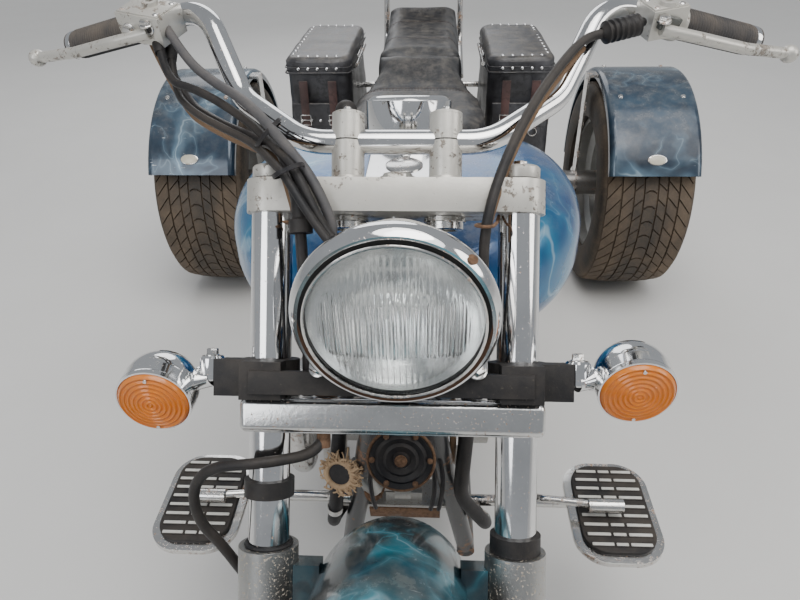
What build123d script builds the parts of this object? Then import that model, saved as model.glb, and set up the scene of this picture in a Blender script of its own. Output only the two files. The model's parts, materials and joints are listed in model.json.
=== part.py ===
from build123d import *
import math
import os

os.makedirs("parts", exist_ok=True)

# Motorized trike. Millimetres, +Z up, facing -Y, +X on the rider's left.
# The origin is on the floor below the middle of the vehicle.

# Wheels
FRONT_TYRE_R = 320
FRONT_TYRE_W = 130
FRONT_RIM_R = 208
REAR_TYRE_R = 320
REAR_TYRE_W = 265
REAR_RIM_R = 205
WHEELBASE = 1780
TRACK = 1277
TYRE_WALL = 14
RIM_WALL = 6
DISC_R = 146
DISC_T = 5
DISC_X = -74
AXLE_R = 10
REAR_AXLE_R = 18
FRONT_HUB_W = 110
REAR_HUB_W = 90
RUNNING_GAP = 0.05
SEAT_GAP = 0.3

# Fork and steering
RAKE = 34
YOKE_OFFSET = 45
LEG_X = 123.5
FORK_TUBE_R = 20.5
SLIDER_R = 30
UPPER_YOKE_TOP = 720
UPPER_YOKE_T = 33
LOWER_YOKE_MID = 488
LOWER_YOKE_T = 34
SLIDER_TOP = 354
STEM_R = 15
HEAD_WALL = 12

# Handlebar and headlamp
BAR_R = 12.7
BAR_BACK = 22
BAR_RISE = 45
RISER_X = 50.5
RISER_R = 17
LAMP_R = 90
LAMP_UP = 580
LAMP_SIDE = 7
LAMP_AHEAD = 106
LENS_R = 77

# Rear fenders, seats and luggage
FENDER_GAP = 26
FENDER_WALL = 5
REAR_FENDER_W = 246
FRONT_FENDER_W = 150
FRONT_FENDER_GAP = 46
BAG_W = 164
BAG_L = 400
BAG_H = 330
BAG_WALL = 6
BAG_X = 250
LID_H = 40
LID_GAP = 0.3
HINGE_R = 5
HINGE_OUT = 6
HINGE_PIN_R = 2.5

# Stations measured back from the front axle
TANK_NOSE = 440
TANK_TAIL = 960
SEAT_NOSE = 970
SEAT_TAIL = 1490
PILLION_TAIL = 1990
BOARD_AT = 475

REAR_FENDER_R = REAR_TYRE_R + FENDER_GAP + FENDER_WALL
FRONT_AXLE_Y = -(WHEELBASE + REAR_FENDER_R - FRONT_TYRE_R) / 2
REAR_AXLE_Y = FRONT_AXLE_Y + WHEELBASE
REAR_WHEEL_X = TRACK / 2


def back(distance):
    """The Y of a station measured back from the front axle."""
    return FRONT_AXLE_Y + distance


# The fork's own frame: x to the rider's left, y square to the legs and to the rear, z up along the legs.
BAR_UP = UPPER_YOKE_TOP + BAR_RISE
RAKE_SIN = math.sin(math.radians(RAKE))
RAKE_COS = math.cos(math.radians(RAKE))
FORK = Plane(origin=(0, FRONT_AXLE_Y, FRONT_TYRE_R), x_dir=(1, 0, 0), z_dir=(0, RAKE_SIN, RAKE_COS))


def fork_at(up, behind=0, side=0):
    """A plane square to the fork legs at a height along them."""
    return Plane(origin=FORK.from_local_coords((side, behind, up)), x_dir=(1, 0, 0), z_dir=FORK.z_dir)


def store(piece, name):
    """Name a finished piece and write it."""
    piece.part.label = name
    export_step(piece.part, f"parts/{name}.step")


def rod(points, radius, bend=None, frame=Plane.XY, mode=Mode.ADD):
    """Add a round bar that follows straight runs joined by arcs."""
    with BuildLine(frame) as route:
        if bend is None:
            Polyline(*points)
        else:
            FilletPolyline(*points, radius=bend)
    start = Plane(origin=route.line @ 0, z_dir=route.line % 0)
    with BuildSketch(start) as section:
        Circle(radius)
    sweep(section.sketch, path=route.line, mode=mode)


def cable_bends(points):
    """The largest radius at each corner that the two runs beside it allow."""
    spots = [Vector(*point) for point in points]
    bends = []
    for before, corner, after in zip(spots, spots[1:], spots[2:]):
        turn = (corner - before).get_angle(after - corner)
        shorter = min((corner - before).length, (after - corner).length)
        bends.append(0.45 * shorter / math.tan(math.radians(turn / 2)))
    return bends


def across(x, y, z):
    """A plane whose sketch lies in X and Z, for shapes turned or drawn about an axle."""
    return Plane(origin=(x, y, z), x_dir=(1, 0, 0), z_dir=(0, -1, 0))


def side_plane(x):
    """A plane in Y and Z, whose normal points to +X."""
    return Plane(origin=(x, 0, 0), x_dir=(0, 1, 0), z_dir=(1, 0, 0))


def wheel_centre(x, y, tyre_r):
    """The sketch plane and the axle line of a wheel."""
    return across(x, y, tyre_r), Axis((x, y, tyre_r), (1, 0, 0))


def tyre_section(width, tyre_r, rim_r, shoulder):
    """Draw and turn a tyre's hollow section: two sidewalls, two shoulders and a tread."""
    half = width / 2
    bead = half * 0.78
    with BuildLine() as outline:
        outer = Polyline(
            (-bead, rim_r),
            (-half, (tyre_r + rim_r) / 2),
            (-half + shoulder * 0.35, tyre_r - shoulder),
            (-half + shoulder * 1.4, tyre_r - shoulder * 0.12),
            (0, tyre_r),
            (half - shoulder * 1.4, tyre_r - shoulder * 0.12),
            (half - shoulder * 0.35, tyre_r - shoulder),
            (half, (tyre_r + rim_r) / 2),
            (bead, rim_r),
        )
        Polyline(
            outer @ 1,
            (bead - TYRE_WALL, rim_r),
            (half - TYRE_WALL, (tyre_r + rim_r) / 2),
            (half - shoulder - TYRE_WALL, tyre_r - TYRE_WALL * 1.6),
            (-half + shoulder + TYRE_WALL, tyre_r - TYRE_WALL * 1.6),
            (-half + TYRE_WALL, (tyre_r + rim_r) / 2),
            (-bead + TYRE_WALL, rim_r),
            outer @ 0,
        )
    make_face(outline.edges())


def wheel_solid(centre, axle, width, rim_r, hub_r, hub_w, shaft_r, spokes, spoke_w):
    """Add a cast wheel: a rim with a dropped middle, a bored hub and flat spokes between them."""
    half = width / 2 * 0.78
    lip = 9
    drop = 22
    with BuildSketch(centre) as section:
        with BuildLine():
            Polyline(
                (-half, rim_r - SEAT_GAP),
                (-half * 0.62, rim_r - SEAT_GAP),
                (-half * 0.5, rim_r - drop),
                (half * 0.5, rim_r - drop),
                (half * 0.62, rim_r - SEAT_GAP),
                (half, rim_r - SEAT_GAP),
                (half, rim_r - RIM_WALL - lip),
                (half * 0.7, rim_r - RIM_WALL - lip),
                (half * 0.56, rim_r - drop - RIM_WALL - lip),
                (-half * 0.56, rim_r - drop - RIM_WALL - lip),
                (-half * 0.7, rim_r - RIM_WALL - lip),
                (-half, rim_r - RIM_WALL - lip),
                close=True,
            )
        make_face()
        with Locations((0, (shaft_r + RUNNING_GAP + hub_r) / 2)):
            Rectangle(hub_w, hub_r - shaft_r - RUNNING_GAP)
    revolve(section.sketch, axis=axle)
    reach = rim_r - drop - RIM_WALL - lip / 2
    middle = Plane(origin=centre.origin, x_dir=(0, 1, 0), z_dir=(1, 0, 0))
    with BuildSketch(middle) as spider:
        with PolarLocations((hub_r * 0.7 + reach) / 2, spokes, start_angle=90):
            Rectangle(reach - hub_r * 0.7, spoke_w)
    extrude(spider.sketch, amount=16, both=True)


# Front wheel
front_plane, front_axle = wheel_centre(0, FRONT_AXLE_Y, FRONT_TYRE_R)
with BuildPart() as front_tyre:
    with BuildSketch(front_plane):
        tyre_section(FRONT_TYRE_W, FRONT_TYRE_R, FRONT_RIM_R, 26)
    revolve(axis=front_axle)
store(front_tyre, "front_tyre")

with BuildPart() as front_wheel:
    wheel_solid(front_plane, front_axle, FRONT_TYRE_W, FRONT_RIM_R, 38, FRONT_HUB_W, AXLE_R, 7, 26)
    disc_face = Plane(origin=(DISC_X, FRONT_AXLE_Y, FRONT_TYRE_R), x_dir=(0, 1, 0), z_dir=(1, 0, 0))
    with BuildSketch(disc_face):
        Circle(DISC_R)
        Circle(AXLE_R + RUNNING_GAP, mode=Mode.SUBTRACT)
        with PolarLocations(85, 6):
            Circle(26, mode=Mode.SUBTRACT)
    extrude(amount=DISC_T)
    with BuildSketch(disc_face.offset(DISC_T)):
        Circle(44)
        Circle(AXLE_R + RUNNING_GAP, mode=Mode.SUBTRACT)
    extrude(amount=-DISC_X - FRONT_HUB_W / 2 - DISC_T + 1)
store(front_wheel, "front_wheel")

# Rear wheels
for side, sign in (("left", 1), ("right", -1)):
    plane, axle = wheel_centre(sign * REAR_WHEEL_X, REAR_AXLE_Y, REAR_TYRE_R)
    with BuildPart() as rear_tyre:
        with BuildSketch(plane):
            tyre_section(REAR_TYRE_W, REAR_TYRE_R, REAR_RIM_R, 30)
        revolve(axis=axle)
    store(rear_tyre, f"rear_tyre_{side}")
    with BuildPart() as rear_wheel:
        wheel_solid(plane, axle, REAR_TYRE_W, REAR_RIM_R, 62, REAR_HUB_W, REAR_AXLE_R, 5, 60)
    store(rear_wheel, f"rear_wheel_{side}")

# Yokes and stem
YOKE_BOSS_R = 25.5
STEM_BOSS_R = 32


def yoke_outline():
    """Draw a yoke: two leg bosses and the stem boss behind them, wrapped in one outline."""
    with Locations((-LEG_X, 0), (LEG_X, 0)):
        Circle(YOKE_BOSS_R)
    with Locations((0, YOKE_OFFSET)):
        Circle(STEM_BOSS_R)
    make_hull()
    with Locations((-LEG_X, 0), (LEG_X, 0)):
        Circle(FORK_TUBE_R + RUNNING_GAP, mode=Mode.SUBTRACT)


UPPER_YOKE_LOW = UPPER_YOKE_TOP - UPPER_YOKE_T
LOWER_YOKE_LOW = LOWER_YOKE_MID - LOWER_YOKE_T / 2
LOWER_YOKE_TOP = LOWER_YOKE_MID + LOWER_YOKE_T / 2
with BuildPart() as upper_yoke:
    with BuildSketch(fork_at(UPPER_YOKE_LOW)):
        yoke_outline()
    extrude(amount=UPPER_YOKE_T)
    with BuildSketch(fork_at(UPPER_YOKE_TOP, YOKE_OFFSET)):
        RegularPolygon(19, 6)
    extrude(amount=14)
    with BuildSketch(fork_at(UPPER_YOKE_LOW, BAR_BACK)):
        with Locations((-RISER_X, 0), (RISER_X, 0)):
            Circle(12.5)
    extrude(amount=-11)
store(upper_yoke, "upper_yoke")

with BuildPart() as lower_yoke:
    with BuildSketch(fork_at(LOWER_YOKE_LOW)):
        yoke_outline()
    extrude(amount=LOWER_YOKE_T)
    with BuildSketch(fork_at(LOWER_YOKE_TOP, YOKE_OFFSET)):
        Circle(STEM_R)
    extrude(amount=UPPER_YOKE_LOW - LOWER_YOKE_TOP)
store(lower_yoke, "lower_yoke")

# Fork tubes with their caps, sliders and front axle
TUBE_SUNK = 60
CAP_R = 17
CAP_H = 9
SLIDER_FOOT = -38
RING_R = 25
with BuildPart() as fork_tubes:
    with BuildSketch(fork_at(SLIDER_TOP - TUBE_SUNK)):
        with Locations((-LEG_X, 0), (LEG_X, 0)):
            Circle(FORK_TUBE_R)
    extrude(amount=UPPER_YOKE_TOP - SLIDER_TOP + TUBE_SUNK)
    with BuildSketch(fork_at(UPPER_YOKE_TOP)):
        with Locations((-LEG_X, 0), (LEG_X, 0)):
            Circle(CAP_R)
    extrude(amount=CAP_H)
store(fork_tubes, "fork_tubes")

with BuildPart() as fork_sliders:
    with BuildSketch(fork_at(SLIDER_FOOT)):
        with Locations((-LEG_X, 0), (LEG_X, 0)):
            Circle(SLIDER_R)
    extrude(amount=SLIDER_TOP - SLIDER_FOOT)
    with BuildSketch(fork_at(SLIDER_TOP - TUBE_SUNK)):
        with Locations((-LEG_X, 0), (LEG_X, 0)):
            Circle(FORK_TUBE_R + RUNNING_GAP)
    extrude(amount=TUBE_SUNK, mode=Mode.SUBTRACT)
    with BuildSketch(side_plane(0)):
        with Locations((FRONT_AXLE_Y, FRONT_TYRE_R)):
            Circle(AXLE_R + RUNNING_GAP)
    extrude(amount=LEG_X + SLIDER_R, both=True, mode=Mode.SUBTRACT)
store(fork_sliders, "fork_sliders")

SLIDER_INNER = LEG_X - SLIDER_R
HUB_CLEARANCE = 1
with BuildPart() as front_axle_shaft:
    with BuildSketch(side_plane(0)):
        with Locations((FRONT_AXLE_Y, FRONT_TYRE_R)):
            Circle(AXLE_R)
    extrude(amount=LEG_X + SLIDER_R + 6, both=True)
    for start, length in (
        (FRONT_HUB_W / 2 + HUB_CLEARANCE, SLIDER_INNER - FRONT_HUB_W / 2 - HUB_CLEARANCE - SEAT_GAP),
        (-SLIDER_INNER + SEAT_GAP, SLIDER_INNER + DISC_X - SEAT_GAP - HUB_CLEARANCE),
    ):
        with BuildSketch(side_plane(start)):
            with Locations((FRONT_AXLE_Y, FRONT_TYRE_R)):
                Circle(AXLE_R + 7)
        extrude(amount=length)
store(front_axle_shaft, "front_axle")

# Rubber rings that have slipped along the fork: one up the right tube, one on the left slider's mouth
RING_T = 17
with BuildPart() as fork_rings:
    for side, up in ((-1, 404), (1, SLIDER_TOP + SEAT_GAP)):
        with BuildSketch(fork_at(up, 0, side * LEG_X)):
            Circle(RING_R)
            Circle(FORK_TUBE_R + RUNNING_GAP, mode=Mode.SUBTRACT)
        extrude(amount=RING_T)
store(fork_rings, "fork_rings")

# Clamps round the tubes above the lower yoke; they carry the indicators and, on a cross bar, the headlamp
CLAMP_UP = LOWER_YOKE_TOP + SEAT_GAP
CLAMP_H = 36
CLAMP_R = 29
LAMP_BAR_AHEAD = 42
with BuildPart() as lamp_brackets:
    with BuildSketch(fork_at(CLAMP_UP)):
        with Locations((-LEG_X, 0), (LEG_X, 0)):
            Circle(CLAMP_R)
        with Locations((-LEG_X - 28, -8), (LEG_X + 28, -8)):
            Rectangle(48, 24)
        with Locations((-LEG_X, -22), (LEG_X, -22)):
            Rectangle(40, 44)
    extrude(amount=CLAMP_H)
    with BuildSketch(fork_at(CLAMP_UP + 6, -LAMP_BAR_AHEAD)):
        Rectangle(2 * LEG_X + 20, 12)
    extrude(amount=22)
    with BuildSketch(fork_at(CLAMP_UP)):
        with Locations((-LEG_X, 0), (LEG_X, 0)):
            Circle(FORK_TUBE_R + RUNNING_GAP)
    extrude(amount=CLAMP_H, mode=Mode.SUBTRACT)

# Headlamp: its axis lies level and points ahead
LAMP_Y = round(FRONT_AXLE_Y + LAMP_UP * RAKE_SIN - LAMP_AHEAD * RAKE_COS, 1)
LAMP_Z = round(FRONT_TYRE_R + LAMP_UP * RAKE_COS + LAMP_AHEAD * RAKE_SIN, 1)
LAMP_SPOT = Vector(LAMP_SIDE, LAMP_Y, LAMP_Z)
LAMP_DEPTH = 112
LAMP_WALL = 3
RIM_DEPTH = 22
CONE_END = 66
CONE_R = 66
LENS_RISE = 14
LAMP_HALF = Plane(origin=LAMP_SPOT, x_dir=(0, 1, 0), z_dir=(1, 0, 0))
LAMP_AXIS = Axis(LAMP_SPOT, (0, 1, 0))


def dome_middle(half_width, rise, base):
    """The halfway point of a ball-shaped cap's outline, from its edge at base to its top on the axis."""
    ball_r = (half_width**2 + rise**2) / (2 * abs(rise))
    turn = math.asin(min(1, half_width / ball_r)) / 2
    return (base + math.copysign(ball_r * math.cos(turn) - (ball_r - abs(rise)), rise), ball_r * math.sin(turn))


def bucket_outline(wall):
    """Draw the shell's back: a cone that ends in a ball-shaped cap."""
    rise = LAMP_DEPTH - wall - CONE_END
    Line((RIM_DEPTH, LAMP_R - 8 - wall), (CONE_END, CONE_R - wall))
    ThreePointArc(
        (CONE_END, CONE_R - wall), dome_middle(CONE_R - wall, rise, CONE_END), (LAMP_DEPTH - wall, 0)
    )


with BuildPart() as headlamp_shell:
    with BuildSketch(LAMP_HALF):
        with BuildLine():
            bucket_outline(0)
            bucket_outline(LAMP_WALL)
            Line((LAMP_DEPTH, 0), (LAMP_DEPTH - LAMP_WALL, 0))
            Polyline(
                (RIM_DEPTH, LAMP_R - 8 - LAMP_WALL),
                (4, LENS_R + 1),
                (0, LENS_R + 1),
                (-2, LAMP_R - 5),
            )
            ThreePointArc((-2, LAMP_R - 5), (6, LAMP_R), (RIM_DEPTH, LAMP_R - 4))
            Line((RIM_DEPTH, LAMP_R - 4), (RIM_DEPTH, LAMP_R - 8))
        make_face()
    revolve(axis=LAMP_AXIS)
store(headlamp_shell, "headlamp_shell")

with BuildPart() as headlamp_lens:
    with BuildSketch(LAMP_HALF):
        with BuildLine():
            Polyline((-LENS_RISE, 0), (3.5, 0), (3.5, LENS_R + SEAT_GAP), (0, LENS_R + SEAT_GAP))
            ThreePointArc(
                (0, LENS_R + SEAT_GAP), dome_middle(LENS_R + SEAT_GAP, -LENS_RISE, 0), (-LENS_RISE, 0)
            )
        make_face()
    revolve(axis=LAMP_AXIS)
store(headlamp_lens, "headlamp_lens")

# The lamp bar's post rises to the shell
POST_BACK = 30
with lamp_brackets:
    post_foot = fork_at(CLAMP_UP + 6, -LAMP_BAR_AHEAD)
    with BuildSketch(Plane(origin=(LAMP_SIDE, LAMP_Y + POST_BACK, post_foot.origin.Z + 8))):
        Rectangle(40, 26)
    extrude(amount=LAMP_Z - post_foot.origin.Z - 8)
    with BuildSketch(LAMP_HALF):
        with BuildLine():
            Polyline(
                (LAMP_DEPTH + SEAT_GAP, 0),
                (-20, 0),
                (-20, LAMP_R + 4),
                (RIM_DEPTH + 1, LAMP_R + 4),
                (RIM_DEPTH + 1, LAMP_R - 8 + SEAT_GAP),
                (CONE_END, CONE_R + SEAT_GAP),
                (CONE_END + 18, CONE_R + SEAT_GAP),
                (LAMP_DEPTH + SEAT_GAP, 20),
                (LAMP_DEPTH + SEAT_GAP, 0),
            )
        make_face()
    revolve(axis=LAMP_AXIS, mode=Mode.SUBTRACT)
store(lamp_brackets, "lamp_brackets")

# Front indicators on stalks from the clamps: chrome bullets with amber lenses
INDICATOR_R = 38
INDICATOR_X = 236
INDICATORS = ((-1, 501), (1, 518))  # side, height up the fork: the right one droops
INDICATOR_AHEAD = 14
BULLET_L = 54
BULLET_RIM = 12
with BuildPart() as front_indicators:
    for sign, up in INDICATORS:
        spot = FORK.from_local_coords((sign * INDICATOR_X, -INDICATOR_AHEAD, up))
        half = Plane(origin=(spot.X, round(spot.Y, 1), round(spot.Z, 1)), x_dir=(0, 1, 0), z_dir=(1, 0, 0))
        with BuildSketch(half):
            with BuildLine():
                Polyline((0, 0), (0, INDICATOR_R), (BULLET_RIM, INDICATOR_R))
                rise = BULLET_L - BULLET_RIM
                ThreePointArc(
                    (BULLET_RIM, INDICATOR_R), dome_middle(INDICATOR_R, rise, BULLET_RIM), (BULLET_L, 0)
                )
                Line((BULLET_L, 0), (0, 0))
            make_face()
        revolve(axis=Axis(half.origin, (0, 1, 0)))
        stalk_end = (sign * (LEG_X + 56), -8, CLAMP_UP + CLAMP_H / 2)
        rod([stalk_end, (sign * (INDICATOR_X - 20), 7, up + 12)], 10, frame=FORK)
store(front_indicators, "front_indicators")

LENS_T = 14
with BuildPart() as front_indicator_lenses:
    for sign, up in INDICATORS:
        spot = FORK.from_local_coords((sign * INDICATOR_X, -INDICATOR_AHEAD, up))
        face = across(spot.X, round(spot.Y, 1) - SEAT_GAP, round(spot.Z, 1))
        with BuildSketch(face):
            Circle(INDICATOR_R - 2)
        extrude(amount=LENS_T, taper=20)
store(front_indicator_lenses, "front_indicator_lenses")

# Risers and handlebar
RISER_TOP = BAR_UP + 29
with BuildPart() as bar_risers:
    for sign in (-1, 1):
        with BuildSketch(fork_at(UPPER_YOKE_TOP, BAR_BACK, sign * RISER_X)):
            Circle(RISER_R)
        extrude(amount=RISER_TOP - UPPER_YOKE_TOP)
    bar_line = Plane(origin=FORK.from_local_coords((0, BAR_BACK, BAR_UP)), x_dir=(0, 1, 0), z_dir=(1, 0, 0))
    with BuildSketch(bar_line):
        Circle(BAR_R + RUNNING_GAP)
    extrude(amount=RISER_X + RISER_R + 5, both=True, mode=Mode.SUBTRACT)
store(bar_risers, "bar_risers")

# Half of the bar, from the grip's end to the middle, in the fork's frame
BAR_END = Vector(433, 195, BAR_UP + 173)
BAR_CORNER = Vector(226, 85, BAR_UP + 169)
BAR_KNEE = (172, 58, BAR_UP + 57)
BAR_FOOT = (95, BAR_BACK, BAR_UP)
BAR_BENDS = [60, 60, 60]


def other_side(point):
    """The same point on the right."""
    return (-point[0], point[1], point[2])


HALF_BAR = [tuple(BAR_END), tuple(BAR_CORNER), BAR_KNEE, BAR_FOOT]
BAR_ROUTE = HALF_BAR + [other_side(point) for point in reversed(HALF_BAR)]
with BuildPart() as handlebar:
    rod(BAR_ROUTE, BAR_R, BAR_BENDS * 2, FORK)
store(handlebar, "handlebar")

GRIP_R = 17.5
GRIP_L = 122
GRIP_CAP = 10
GRIP_LINE = (BAR_CORNER - BAR_END).normalized()


def along_grip(sign, distance):
    """A plane square to the grip, at a distance in from the bar's end, whose normal points inboard."""
    spot = BAR_END + GRIP_LINE * distance
    spot = FORK.from_local_coords((sign * spot.X, spot.Y, spot.Z))
    inboard = FORK.from_local_coords((sign * GRIP_LINE.X, GRIP_LINE.Y, GRIP_LINE.Z)) - FORK.origin
    return Plane(origin=spot, x_dir=FORK.z_dir.cross(inboard), z_dir=inboard)


with BuildPart() as grips:
    for sign in (-1, 1):
        with BuildSketch(along_grip(sign, 0)):
            Circle(GRIP_R)
            Circle(BAR_R + RUNNING_GAP, mode=Mode.SUBTRACT)
        extrude(amount=GRIP_L)
        with BuildSketch(along_grip(sign, -SEAT_GAP)):
            Circle(GRIP_R)
        extrude(amount=-GRIP_CAP)
store(grips, "grips")

# Clutch perch on the left, master cylinder with its reservoir on the right, both with a mirror thread
PERCH_IN = GRIP_L + 4
PERCH_L = 46
PERCH_R = 21
MIRROR_R = 4.25
MIRROR_DEPTH = 18
MIRROR_OFF = 6
LEVER_PIVOT = Vector(283, 60, BAR_UP + 135)
LEVER_R = 6.5
BALL_R = 10.5
LEVER_ROUTE = [
    (283, 66, BAR_UP + 133),
    (330, 78, BAR_UP + 128),
    (392, 108, BAR_UP + 128),
    (452, 138, BAR_UP + 134),
]
with BuildPart() as hand_controls:
    for sign, body in ((1, (44, 34)), (-1, (58, 44))):
        clamp = along_grip(sign, PERCH_IN)
        with BuildSketch(clamp):
            Circle(PERCH_R)
        extrude(amount=PERCH_L)
        block = Plane(
            origin=FORK.from_local_coords((sign * (LEVER_PIVOT.X + 4), LEVER_PIVOT.Y + 22, LEVER_PIVOT.Z + 18)),
            x_dir=clamp.z_dir,
            z_dir=(0, -0.25, 1),
        )
        with BuildSketch(block):
            Rectangle(*body)
        extrude(amount=16, both=True)
        with BuildSketch(block.offset(16)):
            with Locations((0, MIRROR_OFF)):
                Circle(MIRROR_R + 5)
        extrude(amount=6)
        with BuildSketch(block.offset(22)):
            with Locations((0, MIRROR_OFF)):
                Circle(MIRROR_R)
        extrude(amount=-MIRROR_DEPTH, mode=Mode.SUBTRACT)
        rod(BAR_ROUTE, BAR_R + RUNNING_GAP, BAR_BENDS * 2, FORK, Mode.SUBTRACT)
        rod([(sign * x, y, z) for x, y, z in LEVER_ROUTE], LEVER_R + SEAT_GAP, [60, 60], FORK, Mode.SUBTRACT)
store(hand_controls, "hand_controls")

with BuildPart() as hand_levers:
    for sign in (-1, 1):
        rod([(sign * x, y, z) for x, y, z in LEVER_ROUTE], LEVER_R, [60, 60], FORK)
        tip = LEVER_ROUTE[-1]
        with Locations(FORK.from_local_coords((sign * (tip[0] + 5), tip[1] + 2, tip[2]))):
            Sphere(BALL_R, rotation=(0, 90, 0))
store(hand_levers, "hand_levers")

# Hoses and cables from the hand controls: they pass in front of the upper yoke and down behind the headlamp
UP = BAR_UP
BRAKE_HOSE = [
    (-268, 74, UP + 145),
    (-240, 62, UP + 104),
    (-202, 38, UP + 70),
    (-149, -4, UP + 34),
    (-106, -28, UP - 14),
    (-79, -38, UP - 45),
    (-60, -37, UP - 83),
    (-56, -34, UP - 104),
    (-76, -26, UP - 155),
    (-70, -8, UP - 215),
    (-68, -4, LOWER_YOKE_TOP + 12),
]
THROTTLE_CABLE = [
    (-282, 86, UP + 143),
    (-262, 58, UP + 77),
    (-215, 40, UP + 61),
    (-152, 12, UP + 19),
    (-120, -14, UP - 13),
    (-91, -47, UP - 42),
    (-73, -49, UP - 80),
    (-58, -46, UP - 105),
    (-32, -46, UP - 135),
]
SWITCH_LOOM = [
    (-270, 94, UP + 143),
    (-260, 80, UP + 75),
    (-228, 50, UP + 41),
    (-183, 26, UP + 15),
    (-147, 6, UP - 4),
    (-115, -32, UP - 34),
    (-101, -50, UP - 48),
    (-80, -58, UP - 80),
    (-62, -59, UP - 105),
    (-35, -62, UP - 137),
]
RETURN_CABLE = [
    (-292, 97, UP + 143),
    (-252, 92, UP + 65),
    (-205, 62, UP + 33),
    (-150, 30, UP + 5),
    (-114, -12, UP - 14),
    (-99, -38, UP - 43),
    (-89, -38, UP - 78),
    (-86, -26, UP - 145),
    (-84, -8, UP - 205),
    (-84, -8, LOWER_YOKE_TOP + SEAT_GAP),
]
CLUTCH_CABLE = [
    (264, 70, UP + 143),
    (250, 57, UP + 134),
    (216, 48, UP + 122),
    (194, 42, UP + 114),
    (165, 26, UP + 78),
    (131, 2, UP + 25),
    (100, -34, UP - 44),
    (86, -40, UP - 97),
    (87, -28, UP - 155),
    (84, -8, UP - 205),
    (84, -8, LOWER_YOKE_TOP + SEAT_GAP),
]
CALIPER_HOSE = [
    (-68, -6, LOWER_YOKE_LOW - SEAT_GAP),
    (-68, -6, LOWER_YOKE_LOW - 22),
    (-120, -42, LOWER_YOKE_LOW - 26),
    (-171, -32, LOWER_YOKE_LOW - 32),
    (-192, -20, LOWER_YOKE_LOW - 50),
    (-199, -8, LOWER_YOKE_LOW - 74),
    (-194, 4, LOWER_YOKE_LOW - 101),
    (-180, 16, LOWER_YOKE_LOW - 122),
    (-158, 44, LOWER_YOKE_LOW - 170),
    (-120, 84, LOWER_YOKE_LOW - 250),
    (-80, 95, 172),
    (-80, 95, 146 + SEAT_GAP),
]
HOSE_R = 5
CABLE_R = 4.5
LOOM_R = 4
SLEEVE_R = 5.8
BOOT_R = 12
with BuildPart() as steering_cables:
    for points, radius in (
        (BRAKE_HOSE, HOSE_R),
        (THROTTLE_CABLE, CABLE_R),
        (SWITCH_LOOM, LOOM_R),
        (RETURN_CABLE, SLEEVE_R),
        (CLUTCH_CABLE, HOSE_R),
        (CALIPER_HOSE, HOSE_R),
    ):
        rod(points, radius, cable_bends(points), FORK)
    rod([(216, 48, UP + 122), (254, 58, UP + 135)], BOOT_R, frame=FORK)
    rod([(-86, -38.5, UP - 97), (-88, -38, UP - 80)], 10, frame=FORK)
    with BuildSketch(fork_at(LOWER_YOKE_TOP + SEAT_GAP, -4, -66)):
        Rectangle(22, 20)
    extrude(amount=18)
    with BuildSketch(LAMP_HALF):
        with BuildLine():
            bucket_outline(-SEAT_GAP)
            Polyline(
                (LAMP_DEPTH + SEAT_GAP, 0),
                (-20, 0),
                (-20, LAMP_R - 8 + SEAT_GAP),
                (RIM_DEPTH, LAMP_R - 8 + SEAT_GAP),
            )
        make_face()
    revolve(axis=LAMP_AXIS, mode=Mode.SUBTRACT)
    add(hand_controls.part, mode=Mode.SUBTRACT)
store(steering_cables, "steering_cables")

# Front fender: a domed shell round the tyre, held to the sliders by lugs at its skirts
FENDER_R = FRONT_TYRE_R + FRONT_FENDER_GAP
FENDER_T = 4
FENDER_DROP = 44
FENDER_REAR = 18
FENDER_FRONT = 172
with BuildPart() as front_fender:
    skirt = FRONT_FENDER_W / 2
    rear_edge = FORK.y_dir.rotate(Axis.X, FENDER_REAR)
    with BuildSketch(Plane(origin=FORK.origin, x_dir=(1, 0, 0), z_dir=Vector(1, 0, 0).cross(rear_edge))):
        with BuildLine():
            ThreePointArc((-skirt, FENDER_R - FENDER_DROP), (0, FENDER_R), (skirt, FENDER_R - FENDER_DROP))
            Line((skirt, FENDER_R - FENDER_DROP), (skirt - FENDER_T, FENDER_R - FENDER_DROP))
            ThreePointArc(
                (skirt - FENDER_T, FENDER_R - FENDER_DROP),
                (0, FENDER_R - FENDER_T),
                (-skirt + FENDER_T, FENDER_R - FENDER_DROP),
            )
            Line((-skirt + FENDER_T, FENDER_R - FENDER_DROP), (-skirt, FENDER_R - FENDER_DROP))
        make_face()
    revolve(axis=Axis(FORK.origin, (1, 0, 0)), revolution_arc=FENDER_FRONT - FENDER_REAR)
    with BuildSketch(fork_at(FENDER_R - FENDER_DROP - 26)):
        with Locations((-SLIDER_INNER + 8, 0), (SLIDER_INNER - 8, 0)):
            Rectangle(31, 26)
    extrude(amount=42)
    with BuildSketch(fork_at(0)):
        with Locations((-LEG_X, 0), (LEG_X, 0)):
            Circle(SLIDER_R + SEAT_GAP)
    extrude(amount=SLIDER_TOP, mode=Mode.SUBTRACT)
store(front_fender, "front_fender")

# Brake caliper behind the right slider, astride the disc
CALIPER_GAP = 5.5
with BuildPart() as front_caliper:
    with BuildSketch(fork_at(62)):
        with Locations(((DISC_X + DISC_T / 2), 95)):
            Rectangle(DISC_T + 2 * CALIPER_GAP + 18, 66)
        with Locations((-SLIDER_INNER - 10, 42)):
            Rectangle(34, 46)
    extrude(amount=84)
    with BuildSketch(side_plane(DISC_X - CALIPER_GAP)):
        with Locations((FRONT_AXLE_Y, FRONT_TYRE_R)):
            Circle(DISC_R + CALIPER_GAP)
    extrude(amount=DISC_T + 2 * CALIPER_GAP, mode=Mode.SUBTRACT)
    with BuildSketch(fork_at(40, 0, -LEG_X)):
        Circle(SLIDER_R + SEAT_GAP)
    extrude(amount=140, mode=Mode.SUBTRACT)
store(front_caliper, "front_caliper")

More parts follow.
